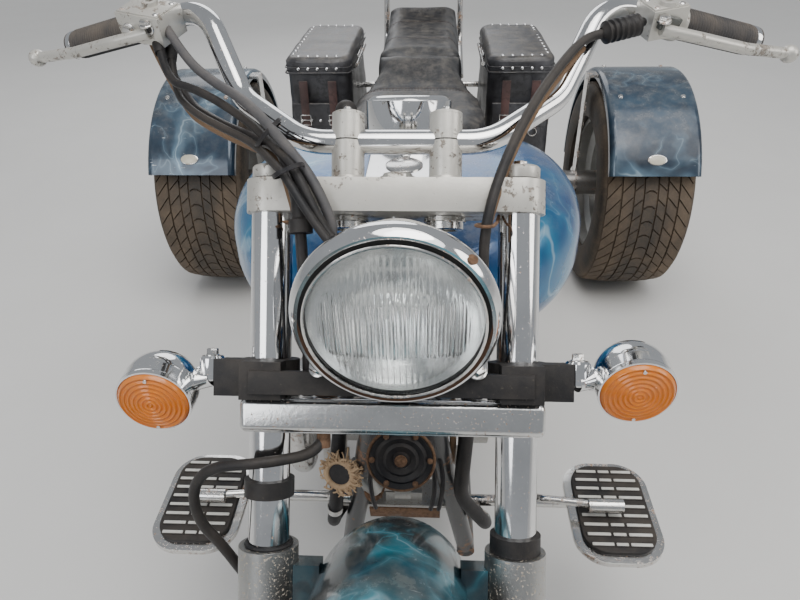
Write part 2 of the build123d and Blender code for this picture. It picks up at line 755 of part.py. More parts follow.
# Frame: head tube with the backbone, down tubes, lower rails, seat tubes
HEAD_GAP = 5
FRAME_R = 16
BACKBONE_R = 20
HEAD_SPOT = FORK.from_local_coords((0, YOKE_OFFSET, (LOWER_YOKE_TOP + UPPER_YOKE_LOW) / 2))
HEAD_Y = round(HEAD_SPOT.Y, 1)
HEAD_Z = round(HEAD_SPOT.Z, 1)
BACKBONE_HIGH = (0, HEAD_Y + 34, HEAD_Z - 37)
BACKBONE_LOW = (0, back(1040), 588)
RAIL_X = 105
SADDLE_NOSE = 1060


def backbone_top(station):
    """The height of the backbone's upper side at a station."""
    slope = (BACKBONE_LOW[2] - BACKBONE_HIGH[2]) / (BACKBONE_LOW[1] - BACKBONE_HIGH[1])
    return BACKBONE_HIGH[2] + slope * (back(station) - BACKBONE_HIGH[1]) + BACKBONE_R * math.hypot(1, slope)


RAIL_Z = 140
RAIL_REAR = back(1210)
GUSSET_HALF = 16
REAR_RAIL_X = 70
REAR_END_Y = back(1985)
REAR_END_Z = 655
SEAT_TUBE_TOP = 575
RAIL_R = 14
RAIL_HEAD = (back(SADDLE_NOSE), SEAT_TUBE_TOP + 16)
PIVOT_R = 18
PIVOT_SPOT = (RAIL_REAR - 4, RAIL_Z + 22)


def rail_line(station):
    """The height of the rear rails' centre line at a station."""
    slope = (REAR_END_Z - RAIL_HEAD[1]) / (REAR_END_Y - RAIL_HEAD[0])
    return RAIL_HEAD[1] + slope * (back(station) - RAIL_HEAD[0])


def down_tube(sign):
    """The down tube's line, from the gusset to the lower rail."""
    return [(sign * 24, HEAD_Y + 46, HEAD_Z - 134), (sign * RAIL_X, back(545), RAIL_Z)]


with BuildPart() as frame_tubes:
    with BuildSketch(fork_at(LOWER_YOKE_TOP + HEAD_GAP, YOKE_OFFSET)):
        Circle(STEM_R + HEAD_WALL)
    extrude(amount=UPPER_YOKE_LOW - LOWER_YOKE_TOP - 2 * HEAD_GAP)
    rod([BACKBONE_HIGH, BACKBONE_LOW], BACKBONE_R)
    with BuildSketch(side_plane(0)):
        with BuildLine():
            Polyline(
                (HEAD_Y - 26, HEAD_Z - 64),
                (HEAD_Y + 21, HEAD_Z - 4),
                (HEAD_Y + 109, HEAD_Z - 54),
                (HEAD_Y + 69, HEAD_Z - 159),
                (HEAD_Y + 27, HEAD_Z - 149),
                close=True,
            )
        make_face()
    extrude(amount=GUSSET_HALF, both=True)
    with BuildSketch(fork_at(LOWER_YOKE_TOP, YOKE_OFFSET)):
        Circle(STEM_R + RUNNING_GAP)
    extrude(amount=UPPER_YOKE_LOW - LOWER_YOKE_TOP, mode=Mode.SUBTRACT)
    for sign in (-1, 1):
        rod(down_tube(sign), FRAME_R)
        rod([(sign * RAIL_X, back(530), RAIL_Z), (sign * RAIL_X, RAIL_REAR, RAIL_Z)], FRAME_R)
        rod([(sign * RAIL_X, RAIL_REAR - 20, RAIL_Z), (sign * REAR_RAIL_X, back(1130), rail_line(1130))], FRAME_R)
        rail_start = (sign * REAR_RAIL_X, back(1040), rail_line(1040))
        rod([rail_start, (sign * REAR_RAIL_X, REAR_END_Y, REAR_END_Z)], RAIL_R)
        with BuildSketch(side_plane(sign * RAIL_X)):
            with Locations(PIVOT_SPOT):
                Circle(PIVOT_R)
        extrude(amount=14, both=True)
    with BuildSketch(side_plane(0)):
        with Locations((back(1046), rail_line(1046) - 3), (REAR_END_Y - 20, REAR_END_Z - 2)):
            Circle(12)
    extrude(amount=REAR_RAIL_X, both=True)
store(frame_tubes, "frame_tubes")

# Engine: a plain case, and two finned cylinders in a vee
CASE_HALF = 118
CASE_LOW = 165
CASE_HIGH = 400
CASE_FRONT = back(600)
CASE_REAR = back(1090)
CRANK = (back(790), 300)
VEE = 23
FIN_SIZE = 150
FIN_T = 4
FIN_STEP = 13
FIN_COUNT = 11
BARREL_R = 58
HEAD_TOP = 285
COVER_R = 92
with BuildPart() as engine_case:
    with BuildSketch(side_plane(0)):
        with BuildLine():
            Polyline(
                (CASE_FRONT + 40, CASE_LOW),
                (CASE_FRONT, CASE_LOW + 60),
                (CASE_FRONT, CRANK[1] + 40),
                (CRANK[0] - 80, CASE_HIGH - 20),
                (CRANK[0] + 90, CASE_HIGH),
                (CASE_REAR, CASE_HIGH),
                (CASE_REAR, CASE_LOW + 40),
                (CASE_REAR - 40, CASE_LOW),
                close=True,
            )
        make_face()
    extrude(amount=RAIL_X - FRAME_R - 2, both=True)
    for station in (650, 1040):
        with BuildSketch(Plane.XY.offset(RAIL_Z + FRAME_R + SEAT_GAP)):
            with Locations((0, back(station))):
                Rectangle(2 * RAIL_X + 12, 34)
        extrude(amount=44)
    for y, radius, reach in ((CRANK[0], 105, CASE_HALF + 32), (CRANK[0] + 215, 72, CASE_HALF + 20)):
        with BuildSketch(side_plane(0)):
            with Locations((y, CRANK[1])):
                Circle(radius)
        extrude(amount=reach, both=True)
store(engine_case, "engine_case")

with BuildPart() as cylinders:
    for lean in (-VEE, VEE):
        up = Vector(0, math.sin(math.radians(lean)), math.cos(math.radians(lean)))
        base = Vector(0, CRANK[0], CRANK[1])
        with BuildSketch(Plane(origin=base + up * 118, x_dir=(1, 0, 0), z_dir=up)):
            Circle(BARREL_R)
        extrude(amount=HEAD_TOP - 118)
        for number in range(FIN_COUNT):
            with BuildSketch(Plane(origin=base + up * (130 + number * FIN_STEP), x_dir=(1, 0, 0), z_dir=up)):
                RectangleRounded(FIN_SIZE, FIN_SIZE, 30)
            extrude(amount=FIN_T)
    with BuildSketch(side_plane(0)):
        with BuildLine():
            Polyline(
                (CASE_FRONT - 100, CASE_LOW),
                (CASE_FRONT - 100, CRANK[1] + 40 + SEAT_GAP),
                (CASE_FRONT, CRANK[1] + 40 + SEAT_GAP),
                (CRANK[0] - 80, CASE_HIGH - 20 + SEAT_GAP),
                (CRANK[0] + 90, CASE_HIGH + SEAT_GAP),
                (CASE_REAR, CASE_HIGH + SEAT_GAP),
                (CASE_REAR, CASE_LOW),
                close=True,
            )
        make_face()
        with Locations((CRANK[0], CRANK[1])):
            Circle(105 + SEAT_GAP)
    extrude(amount=200, both=True, mode=Mode.SUBTRACT)
store(cylinders, "cylinders")

# Exhaust: two pipes down the right side, each with its silencer
PIPE_R = 22
SILENCER_R = 46
SILENCER_X = -230
with BuildPart() as exhaust:
    for start, drop, low in (
        ((-96, back(655), 520), (-178, back(590), 500), 262),
        ((-96, back(915), 540), (-170, back(1020), 520), 352),
    ):
        with BuildSketch(side_plane(-FIN_SIZE / 2 - SEAT_GAP)):
            with Locations(start[1:]):
                Circle(PIPE_R + 4)
        extrude(amount=-34)
        turn_y = drop[1] + (10 if low < 300 else 95)
        route = [start, drop, (-192, turn_y, low), (SILENCER_X, back(1220), low - 30)]
        rod(route, PIPE_R, [46, 60])
        rod([(SILENCER_X, back(1220), low - 30), (SILENCER_X, back(1725), low - 30)], SILENCER_R)
store(exhaust, "exhaust")

# Air cleaner on the right, between the cylinders
with BuildPart() as air_cleaner:
    with BuildSketch(side_plane(-(FIN_SIZE / 2 + SEAT_GAP))):
        with Locations((CRANK[0], 505)):
            Circle(40)
    extrude(amount=-20)
    with BuildSketch(side_plane(-(FIN_SIZE / 2 + 20))):
        with Locations((CRANK[0], 505)):
            Circle(88)
    extrude(amount=-44, taper=12)
store(air_cleaner, "air_cleaner")

# Horn in front of the engine, on a strap from the gusset
HORN_R = 46
with BuildPart() as horn:
    spot = Vector(0, back(390), 530)
    facing = Vector(0, -0.9, 0.35)
    with BuildSketch(Plane(origin=spot, x_dir=(1, 0, 0), z_dir=facing)):
        Circle(HORN_R)
    extrude(amount=-30)
    rod([(0, back(416), 536), (0, HEAD_Y + 53, HEAD_Z - 157.6)], 7)
    add(frame_tubes.part, mode=Mode.SUBTRACT)
store(horn, "horn")

# Fittings seen between the fork legs, in front of the engine
BRACKET_Z = 296
with BuildPart() as engine_fittings:
    with BuildSketch(Plane.XY.offset(BRACKET_Z)):
        with Locations((0, back(528))):
            Rectangle(210, 56)
    extrude(amount=5)
    with BuildSketch(Plane.XY.offset(BRACKET_Z + 5)):
        with Locations((-4, back(530))):
            Rectangle(60, 44)
    extrude(amount=22)
    rod([(-82, back(520), 338), (-8, back(520), 340)], 18)
    with BuildSketch(side_plane(-18)):
        with Locations((back(520), 340)):
            Circle(30)
    extrude(amount=26)
    with BuildSketch(across(69, back(545), BRACKET_Z + 5)):
        with Locations((0, 30)):
            Rectangle(12, 62)
    extrude(amount=10)
    with BuildSketch(side_plane(-128)):
        with Locations((back(560), 400)):
            Circle(64)
    extrude(amount=22)
    with BuildSketch(Plane.XY.offset(BRACKET_Z)):
        with Locations((-102, back(545))):
            Rectangle(10, 30)
    extrude(amount=76)
    with BuildSketch(side_plane(-134)):
        with Locations((back(546), 440)):
            RegularPolygon(15, 6)
    extrude(amount=7)
    for sign in (-1, 1):
        rod(down_tube(sign), FRAME_R + SEAT_GAP, mode=Mode.SUBTRACT)
store(engine_fittings, "engine_fittings")

# Fuel tank: round sections along the frame, with a tunnel for the backbone
TANK_SECTIONS = (
    # station, width, bottom, top
    (TANK_NOSE, 200, 690, 800),
    (545, 440, 655, 830),
    (680, 496, 645, 838),
    (830, 418, 640, 815),
    (TANK_TAIL, 250, 640, 765),
)
TUNNEL_HALF = 32
with BuildPart() as fuel_tank:
    for station, width, low, high in TANK_SECTIONS:
        with BuildSketch(across(0, back(station), (low + high) / 2)):
            RectangleRounded(width, high - low, (high - low) * 0.44)
    loft()
    with BuildSketch(side_plane(0)):
        with BuildLine():
            Polyline(
                (back(TANK_NOSE - 60), 560),
                (back(TANK_NOSE - 60), backbone_top(TANK_NOSE - 60) + SEAT_GAP),
                (back(TANK_TAIL + 40), backbone_top(TANK_TAIL + 40) + SEAT_GAP),
                (back(TANK_TAIL + 40), 540),
                close=True,
            )
        make_face()
    extrude(amount=TUNNEL_HALF, both=True, mode=Mode.SUBTRACT)
store(fuel_tank, "fuel_tank")

# Hoses from the engine's front, up outside the down tubes, to the tank
OIL_HOSE = [
    (-64, back(608), 262),
    (-100, back(572), 246),
    (-124, back(512), 252),
    (-118, back(474), 290),
    (-108, back(466), 350),
    (-102, back(484), 450),
    (-86, back(520), 560),
    (-82, back(560), 665),
]
WIRE_TUBE = [
    (64, back(608), 250),
    (100, back(572), 238),
    (128, back(520), 250),
    (131, back(470), 296),
    (84, back(450), 388),
    (86, back(448), 450),
    (96, back(500), 560),
    (92, back(560), 665),
]
with BuildPart() as frame_hoses:
    for points, radius in ((OIL_HOSE, 11), (WIRE_TUBE, 11)):
        rod(points, radius, cable_bends(points))
    add(engine_case.part, mode=Mode.SUBTRACT)
    add(fuel_tank.part, mode=Mode.SUBTRACT)
store(frame_hoses, "frame_hoses")

# Chrome console along the tank's top, with the instrument's dome
with BuildPart() as tank_console:
    with BuildSketch(Plane.XY.offset(780)):
        with Locations((0, back(660))):
            SlotOverall(330, 96, rotation=90)
    extrude(amount=74)
    with BuildSketch(Plane(origin=(0, back(765), 842), x_dir=(1, 0, 0), z_dir=(0, 0.3, 1))):
        Circle(64)
    extrude(amount=46)
    add(fuel_tank.part, mode=Mode.SUBTRACT)
store(tank_console, "tank_console")

# Seats and backrest: rounded pads
def pad_outline(stations):
    """Draw a pad seen from above: a closed outline, the same on both sides, from station and half width."""
    left = [(half, back(station)) for station, half in stations]
    right = [(-half, back(station)) for station, half in reversed(stations)]
    Polyline(*left, *right, close=True)


SEAT_BASE = 560
SEAT_L = SEAT_TAIL - SEAT_NOSE
SEAT_PLAN = ((0, 70), (0.17, 92), (0.36, 150), (0.54, 170), (0.72, 158), (0.88, 116), (1, 106))
SEAT_SIDE = ((0, 735), (0.25, 722), (0.54, 712), (0.79, 735), (1, 800))
PILLION_HALF = 108
PILLION_L = PILLION_TAIL - SEAT_TAIL - 3
PILLION_SIDE = ((0, 790), (0.22, 792), (0.72, 800), (1, 815))
with BuildPart() as rider_seat:
    with BuildSketch(Plane.XY.offset(SEAT_BASE)):
        with BuildLine():
            pad_outline([(SEAT_NOSE + share * SEAT_L, half) for share, half in SEAT_PLAN])
        make_face()
    extrude(amount=260)
    with BuildSketch(side_plane(0)):
        with BuildLine():
            top = [(back(SEAT_NOSE + share * SEAT_L), height) for share, height in SEAT_SIDE]
            under = [(back(station), rail_line(station) + RAIL_R + 1) for station in (SEAT_TAIL, SADDLE_NOSE)]
            Polyline((back(SEAT_NOSE), backbone_top(SEAT_NOSE) + 1), *top, *under, close=True)
        make_face()
    extrude(amount=200, both=True, mode=Mode.INTERSECT)
store(rider_seat, "rider_seat")

with BuildPart() as pillion_seat:
    with BuildSketch(side_plane(0)):
        with BuildLine():
            top = [(back(SEAT_TAIL + 3 + share * PILLION_L), height) for share, height in PILLION_SIDE]
            under = [(back(station), rail_line(station) + RAIL_R + 1) for station in (PILLION_TAIL, SEAT_TAIL + 3)]
            Polyline(*top, *under, close=True)
        make_face()
    extrude(amount=PILLION_HALF, both=True)
    fillet(pillion_seat.edges().filter_by(Axis.Z), 20)
store(pillion_seat, "pillion_seat")

BAR_LEAN_X = 118
with BuildPart() as sissy_bar:
    foot = (BAR_LEAN_X, REAR_END_Y - 145, REAR_END_Z - 15)
    knee = (BAR_LEAN_X, REAR_END_Y + 50, REAR_END_Z + 45)
    top = (BAR_LEAN_X - 6, REAR_END_Y + 93, REAR_END_Z + 465)
    crown = (0, REAR_END_Y + 97, REAR_END_Z + 510)
    half = [foot, knee, top]
    rod(half + [crown] + [other_side(point) for point in reversed(half)], 9, [45, 60, 40, 60, 45])
    for share in (0.48, 0.81):
        rung = (knee[1] + (top[1] - knee[1]) * share, knee[2] + (top[2] - knee[2]) * share)
        rod([(-BAR_LEAN_X + 4, *rung), (BAR_LEAN_X - 4, *rung)], 7)
    for sign in (-1, 1):
        peg = REAR_RAIL_X + RAIL_R + SEAT_GAP
        rod([(sign * peg, back(1850), rail_line(1850)), (sign * (BAR_LEAN_X - 2), back(1850), rail_line(1850))], 7)
store(sissy_bar, "sissy_bar")

with BuildPart() as backrest:
    with BuildSketch(Plane(origin=(0, REAR_END_Y + 69, REAR_END_Z + 310), x_dir=(1, 0, 0), z_dir=(0, -1, 0.1))):
        RectangleRounded(212, 262, 45)
    extrude(amount=52)
    fillet(backrest.faces().sort_by(Axis.Y)[0].edges(), 18)
store(backrest, "backrest")

# Saddlebags: hollow, open on top, each with its hinged lid
BAG_FRONT = back(1430)
BAG_LOW = 425
BAG_TOP = BAG_LOW + BAG_H
BAG_MIDDLE = BAG_FRONT + BAG_L / 2
KNUCKLE_Y = 84
KNUCKLE_L = 50
LID_KNUCKLE_L = 110


def bag_plan(sign, inset, z):
    """Draw a saddlebag's outline seen from above, inset from its outside."""
    with BuildSketch(Plane.XY.offset(z)) as plan:
        with Locations((sign * BAG_X, BAG_MIDDLE)):
            RectangleRounded(BAG_W - 2 * inset, BAG_L - 2 * inset, 40 - inset)
    return plan.sketch


def hinge_axis(sign):
    """The plane across a lid's hinge line, halfway along the bag, whose normal points to +Y."""
    spot = (sign * (BAG_X - BAG_W / 2 - HINGE_OUT), BAG_MIDDLE, BAG_TOP + LID_GAP)
    return Plane(origin=spot, x_dir=(sign, 0, 0), z_dir=(0, 1, 0))


for side, sign in (("left", 1), ("right", -1)):
    hinge = hinge_axis(sign)
    with BuildPart() as saddlebag:
        extrude(bag_plan(sign, 0, BAG_LOW), amount=BAG_H)
        extrude(bag_plan(sign, BAG_WALL, BAG_LOW + BAG_WALL), amount=BAG_H, mode=Mode.SUBTRACT)
        for middle in (-KNUCKLE_Y, KNUCKLE_Y):
            with BuildSketch(hinge.offset(middle - KNUCKLE_L / 2)):
                Circle(HINGE_R)
                with Locations((0, sign * HINGE_R)):
                    Rectangle(4, 2 * HINGE_R)
                with Locations((HINGE_OUT / 2 + 1, sign * HINGE_R * 1.5)):
                    Rectangle(HINGE_OUT + 2, HINGE_R)
            extrude(amount=KNUCKLE_L)
        with BuildSketch(hinge.offset(-KNUCKLE_Y)):
            Circle(HINGE_PIN_R)
        extrude(amount=2 * KNUCKLE_Y)
    store(saddlebag, f"saddlebag_{side}")
    with BuildPart() as lid:
        extrude(bag_plan(sign, 0, BAG_TOP + LID_GAP), amount=LID_H)
        fillet(lid.faces().sort_by(Axis.Z)[-1].edges(), 16)
        extrude(bag_plan(sign, BAG_WALL, BAG_TOP), amount=LID_H - BAG_WALL, mode=Mode.SUBTRACT)
        with BuildSketch(hinge.offset(-LID_KNUCKLE_L / 2)):
            Circle(HINGE_R)
            with Locations((HINGE_OUT / 2 + 1, -sign * HINGE_R * 1.5)):
                Rectangle(HINGE_OUT + 2, HINGE_R)
            with Locations((0, -sign * HINGE_R)):
                Rectangle(4, 2 * HINGE_R)
        extrude(amount=LID_KNUCKLE_L)
        with BuildSketch(hinge.offset(-LID_KNUCKLE_L)):
            Circle(HINGE_PIN_R + RUNNING_GAP)
        extrude(amount=2 * LID_KNUCKLE_L, mode=Mode.SUBTRACT)
    store(lid, f"saddlebag_lid_{side}")

with BuildPart() as bag_rails:
    for sign in (-1, 1):
        for station in (1500, 1760):
            with BuildSketch(side_plane(sign * (REAR_RAIL_X + 14 + SEAT_GAP))):
                with Locations((back(station), rail_line(station))):
                    Circle(9)
            extrude(amount=sign * (BAG_X - BAG_W / 2 - REAR_RAIL_X - 14 - 2 * SEAT_GAP))
store(bag_rails, "bag_rails")

# Rear axle: a housing with the final drive, stub axles, arms and drive tube
HOUSING_R = 38
HOUSING_HALF = REAR_WHEEL_X - REAR_HUB_W / 2 - 5
DIFF_R = 95
SHOCK_R = 22
with BuildPart() as rear_axle:
    with BuildSketch(side_plane(0)):
        with Locations((REAR_AXLE_Y, REAR_TYRE_R)):
            Circle(HOUSING_R)
    extrude(amount=HOUSING_HALF, both=True)
    with BuildSketch(side_plane(0)):
        with Locations((REAR_AXLE_Y, REAR_TYRE_R)):
            Circle(REAR_AXLE_R)
    extrude(amount=REAR_WHEEL_X + REAR_HUB_W / 2 + 22, both=True)
    with BuildSketch(side_plane(0)):
        with Locations((REAR_AXLE_Y, REAR_TYRE_R)):
            Circle(DIFF_R)
    extrude(amount=80, both=True)
    for sign in (-1, 1):
        rod([(sign * 160, REAR_AXLE_Y, REAR_TYRE_R), (sign * RAIL_X, *PIVOT_SPOT)], 20)
        rod([(sign * RAIL_X, RAIL_REAR - 90, RAIL_Z), (sign * RAIL_X, RAIL_REAR + 2, RAIL_Z)], FRAME_R + 2, mode=Mode.SUBTRACT)
        with BuildSketch(side_plane(sign * RAIL_X)):
            with Locations(PIVOT_SPOT):
                Circle(PIVOT_R + SEAT_GAP)
            with Locations((PIVOT_SPOT[0] - 40, PIVOT_SPOT[1])):
                Rectangle(80, 90)
        extrude(amount=40, both=True, mode=Mode.SUBTRACT)
    rod([(38, REAR_AXLE_Y, REAR_TYRE_R), (38, CASE_REAR + 1.3, CRANK[1])], 32)
store(rear_axle, "rear_axle")

with BuildPart() as shocks:
    for sign in (-1, 1):
        rod([(sign * 116, REAR_AXLE_Y - 20, REAR_TYRE_R + 24), (sign * 108, back(1560), 612)], SHOCK_R)
    with BuildSketch(side_plane(0)):
        with Locations((REAR_AXLE_Y, REAR_TYRE_R)):
            Circle(HOUSING_R + SEAT_GAP)
    extrude(amount=200, both=True, mode=Mode.SUBTRACT)
store(shocks, "shocks")

# Rear fenders over the tyres, each on a flat stay from the axle
FENDER_LIP = 26
FENDER_TAIL = 184
FENDER_SKIRT = 26
STAY_X = 492
with BuildPart() as rear_fenders:
    for sign in (-1, 1):
        front_edge = Vector(0, -1, 0).rotate(Axis.X, -FENDER_LIP)
        start = Plane(
            origin=(sign * REAR_WHEEL_X, REAR_AXLE_Y, REAR_TYRE_R),
            x_dir=(1, 0, 0),
            z_dir=Vector(1, 0, 0).cross(front_edge),
        )
        half = REAR_FENDER_W / 2
        with BuildSketch(start):
            with BuildLine():
                FilletPolyline(
                    (-half, REAR_FENDER_R - FENDER_SKIRT),
                    (-half, REAR_FENDER_R),
                    (half, REAR_FENDER_R),
                    (half, REAR_FENDER_R - FENDER_SKIRT),
                    radius=16,
                )
                FilletPolyline(
                    (-half + FENDER_WALL, REAR_FENDER_R - FENDER_SKIRT),
                    (-half + FENDER_WALL, REAR_FENDER_R - FENDER_WALL),
                    (half - FENDER_WALL, REAR_FENDER_R - FENDER_WALL),
                    (half - FENDER_WALL, REAR_FENDER_R - FENDER_SKIRT),
                    radius=11,
                )
                Line((-half, REAR_FENDER_R - FENDER_SKIRT), (-half + FENDER_WALL, REAR_FENDER_R - FENDER_SKIRT))
                Line((half, REAR_FENDER_R - FENDER_SKIRT), (half - FENDER_WALL, REAR_FENDER_R - FENDER_SKIRT))
            make_face()
        revolve(axis=Axis(start.origin, (-1, 0, 0)), revolution_arc=FENDER_TAIL - FENDER_LIP)
store(rear_fenders, "rear_fenders")

with BuildPart() as fender_stays:
    for sign in (-1, 1):
        inner = sign * (REAR_WHEEL_X - REAR_FENDER_W / 2 - SEAT_GAP)
        with BuildSketch(side_plane(sign * STAY_X)):
            with Locations((REAR_AXLE_Y, REAR_TYRE_R + (REAR_FENDER_R - 7) / 2)):
                Rectangle(44, REAR_FENDER_R - 7)
            with Locations((REAR_AXLE_Y, REAR_TYRE_R)):
                Circle(HOUSING_R + 14)
                Circle(HOUSING_R + RUNNING_GAP, mode=Mode.SUBTRACT)
        extrude(amount=-sign * 6)
        with BuildSketch(side_plane(sign * STAY_X)):
            with Locations((REAR_AXLE_Y, REAR_TYRE_R + REAR_FENDER_R - 11)):
                Rectangle(44, 8)
        extrude(amount=inner - sign * STAY_X)
    with BuildSketch(side_plane(0)):
        with Locations((REAR_AXLE_Y, REAR_TYRE_R)):
            Circle(HOUSING_R + RUNNING_GAP)
    extrude(amount=HOUSING_HALF, both=True, mode=Mode.SUBTRACT)
store(fender_stays, "fender_stays")

# Box under the seat that holds the electrics, with the side covers on its ends
BOX_HALF = 124
with BuildPart() as side_covers:
    with BuildSketch(Plane.XY.offset(CASE_HIGH + SEAT_GAP)):
        with Locations((0, back(1056))):
            Rectangle(2 * BOX_HALF, 98)
    extrude(amount=165)
    fillet(side_covers.edges().filter_by(Axis.Z), 22)
    rod([BACKBONE_HIGH, BACKBONE_LOW], BACKBONE_R + SEAT_GAP, mode=Mode.SUBTRACT)
store(side_covers, "side_covers")

# Footboards: a rounded tray on a bar from the down tube, with a ribbed pad on top
BOARD_X = 324
BOARD_W = 134
BOARD_L = 190
BOARD_T = 9
BOARD_Z = 325
BOARD_BAR_R = 9
PAD_INSET = 12
PAD_T = 8
with BuildPart() as footboards:
    for sign in (-1, 1):
        with BuildSketch(Plane.XY.offset(BOARD_Z)):
            with Locations((sign * BOARD_X, back(BOARD_AT))):
                RectangleRounded(BOARD_W, BOARD_L, 48)
        extrude(amount=BOARD_T)
        rod([(sign * 72, back(500), BOARD_Z - 6), (sign * BOARD_X, back(500), BOARD_Z - 6)], BOARD_BAR_R)
        rod(down_tube(sign), FRAME_R + SEAT_GAP, mode=Mode.SUBTRACT)
store(footboards, "footboards")

with BuildPart() as footboard_pads:
    for sign in (-1, 1):
        with BuildSketch(Plane.XY.offset(BOARD_Z + BOARD_T)):
            with Locations((sign * BOARD_X, back(BOARD_AT))):
                RectangleRounded(BOARD_W - 2 * PAD_INSET, BOARD_L - 2 * PAD_INSET, 48 - PAD_INSET)
        extrude(amount=PAD_T)
store(footboard_pads, "footboard_pads")

PEDAL_X = 306
with BuildPart() as foot_pedals:
    for sign in (-1, 1):
        rod([(sign * 202, back(512), 321), (sign * 212, back(476), 356), (sign * PEDAL_X, back(457), 366)], 6, [9])
        rod([(sign * (PEDAL_X - 26), back(457), 366), (sign * (PEDAL_X + 26), back(457), 366)], 11)
    rod([(-BOARD_X, back(500), BOARD_Z - 6), (BOARD_X, back(500), BOARD_Z - 6)], BOARD_BAR_R + SEAT_GAP, mode=Mode.SUBTRACT)
store(foot_pedals, "foot_pedals")

# Reverse lever with its ball knob, beside the tank's tail
KNOB_R = 20
with BuildPart() as reverse_lever:
    rod([(-BOX_HALF - 5.4, back(1052), 552), (-134, back(1030), 690), (-123, back(981), 792)], 5, [40])
    with Locations((-123, back(977), 806)):
        Sphere(KNOB_R)
store(reverse_lever, "reverse_lever")

# Plate behind the rear rails: it carries the tail lamp and a blank number plate on two bolts
PLATE_Y = REAR_END_Y + 6.3
PLATE_HOLE_R = 3.5
PLATE_SPACING = 140
with BuildPart() as plate_bracket:
    with BuildSketch(across(0, PLATE_Y, 0)):
        with Locations((0, 550)):
            Rectangle(190, 236)
        with Locations((-PLATE_SPACING / 2, 545), (PLATE_SPACING / 2, 545)):
            Circle(PLATE_HOLE_R, mode=Mode.SUBTRACT)
    extrude(amount=5)
store(plate_bracket, "plate_bracket")

with BuildPart() as tail_lamp:
    with BuildSketch(across(0, PLATE_Y + SEAT_GAP, 630)):
        Circle(46)
    extrude(amount=-34)
store(tail_lamp, "tail_lamp")

with BuildPart() as tail_lens:
    with BuildSketch(across(0, PLATE_Y + 34 + 2 * SEAT_GAP, 630)):
        Circle(43)
    extrude(amount=-12, taper=15)
store(tail_lens, "tail_lens")
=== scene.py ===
"""Dress the motorized trike for its picture: finishes, modelled pieces, light and camera."""
from __future__ import annotations

import json
import logging
import random
from dataclasses import dataclass
from enum import Enum
from math import cos, exp, hypot, pi, radians, sin, sqrt, tau
from typing import Any, Iterable, Sequence

import bmesh
import bpy
from mathutils import Matrix, Vector, noise
from mathutils.bvhtree import BVHTree

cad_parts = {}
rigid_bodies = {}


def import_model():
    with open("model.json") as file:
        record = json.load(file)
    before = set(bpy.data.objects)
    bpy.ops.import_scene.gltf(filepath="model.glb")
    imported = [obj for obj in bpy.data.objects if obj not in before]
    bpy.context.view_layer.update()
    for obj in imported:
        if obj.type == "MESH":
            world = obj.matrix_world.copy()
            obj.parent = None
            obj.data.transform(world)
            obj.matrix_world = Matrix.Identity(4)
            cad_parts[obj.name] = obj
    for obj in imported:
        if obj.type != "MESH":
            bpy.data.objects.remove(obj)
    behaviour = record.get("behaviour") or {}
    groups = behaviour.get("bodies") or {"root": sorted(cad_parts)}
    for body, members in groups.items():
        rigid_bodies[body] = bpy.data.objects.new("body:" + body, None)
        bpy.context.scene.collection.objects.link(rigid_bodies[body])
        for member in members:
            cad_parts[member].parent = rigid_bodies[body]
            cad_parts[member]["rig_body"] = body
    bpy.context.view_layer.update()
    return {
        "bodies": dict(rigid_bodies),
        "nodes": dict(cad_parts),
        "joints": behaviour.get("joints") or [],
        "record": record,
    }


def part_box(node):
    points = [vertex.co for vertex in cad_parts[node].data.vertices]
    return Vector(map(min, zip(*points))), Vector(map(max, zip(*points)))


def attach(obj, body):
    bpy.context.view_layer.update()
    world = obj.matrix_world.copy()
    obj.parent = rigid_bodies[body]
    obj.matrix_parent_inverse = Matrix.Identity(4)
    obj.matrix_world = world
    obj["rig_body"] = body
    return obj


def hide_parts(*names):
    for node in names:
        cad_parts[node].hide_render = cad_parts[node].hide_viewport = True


LOG = logging.getLogger("trike")
Colour = tuple[float, float, float]
Point = tuple[float, float, float]
Outline = Sequence[tuple[float, float]]
Nodes = dict[str, bpy.types.Object]
UP = Vector((0, 0, 1))
SIDES = ((1, "Left"), (-1, "Right"))
FRONT_AXLE: Point = (0.0, -0.9055, 0.32)
REAR_AXLE: Point = (0.0, 0.8745, 0.32)
REAR_WHEEL_X = 0.6385
ENGINE_MIDDLE: Point = (0.0, -0.0655, 0.283)
ENGINE_SIDE_X = 0.1502
LEG_X = 0.1235


def toned(colour: Colour, by: float) -> Colour:
    """Make a colour darker or lighter."""
    return tuple(min(1, c * by) for c in colour)


def moved(x: float, y: float, z: float) -> Matrix:
    """Give the matrix of a move."""
    return Matrix.Translation((x, y, z))


def spun(angle: float, axis: str = "Z") -> Matrix:
    """Give the matrix of a turn in radians."""
    return Matrix.Rotation(angle, 4, axis)


def round_x(centre: Iterable[float], radius: float, count: int) -> list[Vector]:
    """Space spots evenly on a circle about X.

    Args:
        centre: the circle's middle.
        radius: its radius.
        count: how many spots.

    Returns:
        The spots, the topmost first.
    """
    x, y, z = centre
    turns = [tau * k / count for k in range(count)]
    return [Vector((x, y + radius * sin(turn), z + radius * cos(turn))) for turn in turns]


def put(name: str, data: Any) -> bpy.types.Object:
    """Link a new object with this data to the scene.

    Args:
        name: the object's name.
        data: its mesh, light or camera.

    Returns:
        The new object.
    """
    made = bpy.data.objects.new(name, data)
    bpy.context.scene.collection.objects.link(made)
    return made


def meshed(form: bmesh.types.BMesh, name: str) -> bpy.types.Mesh:
    """Write a form to a new mesh and free it.

    Args:
        form: the form to write.
        name: the mesh's name.

    Returns:
        The new mesh.
    """
    mesh = bpy.data.meshes.new(name)
    form.to_mesh(mesh)
    form.free()
    return mesh


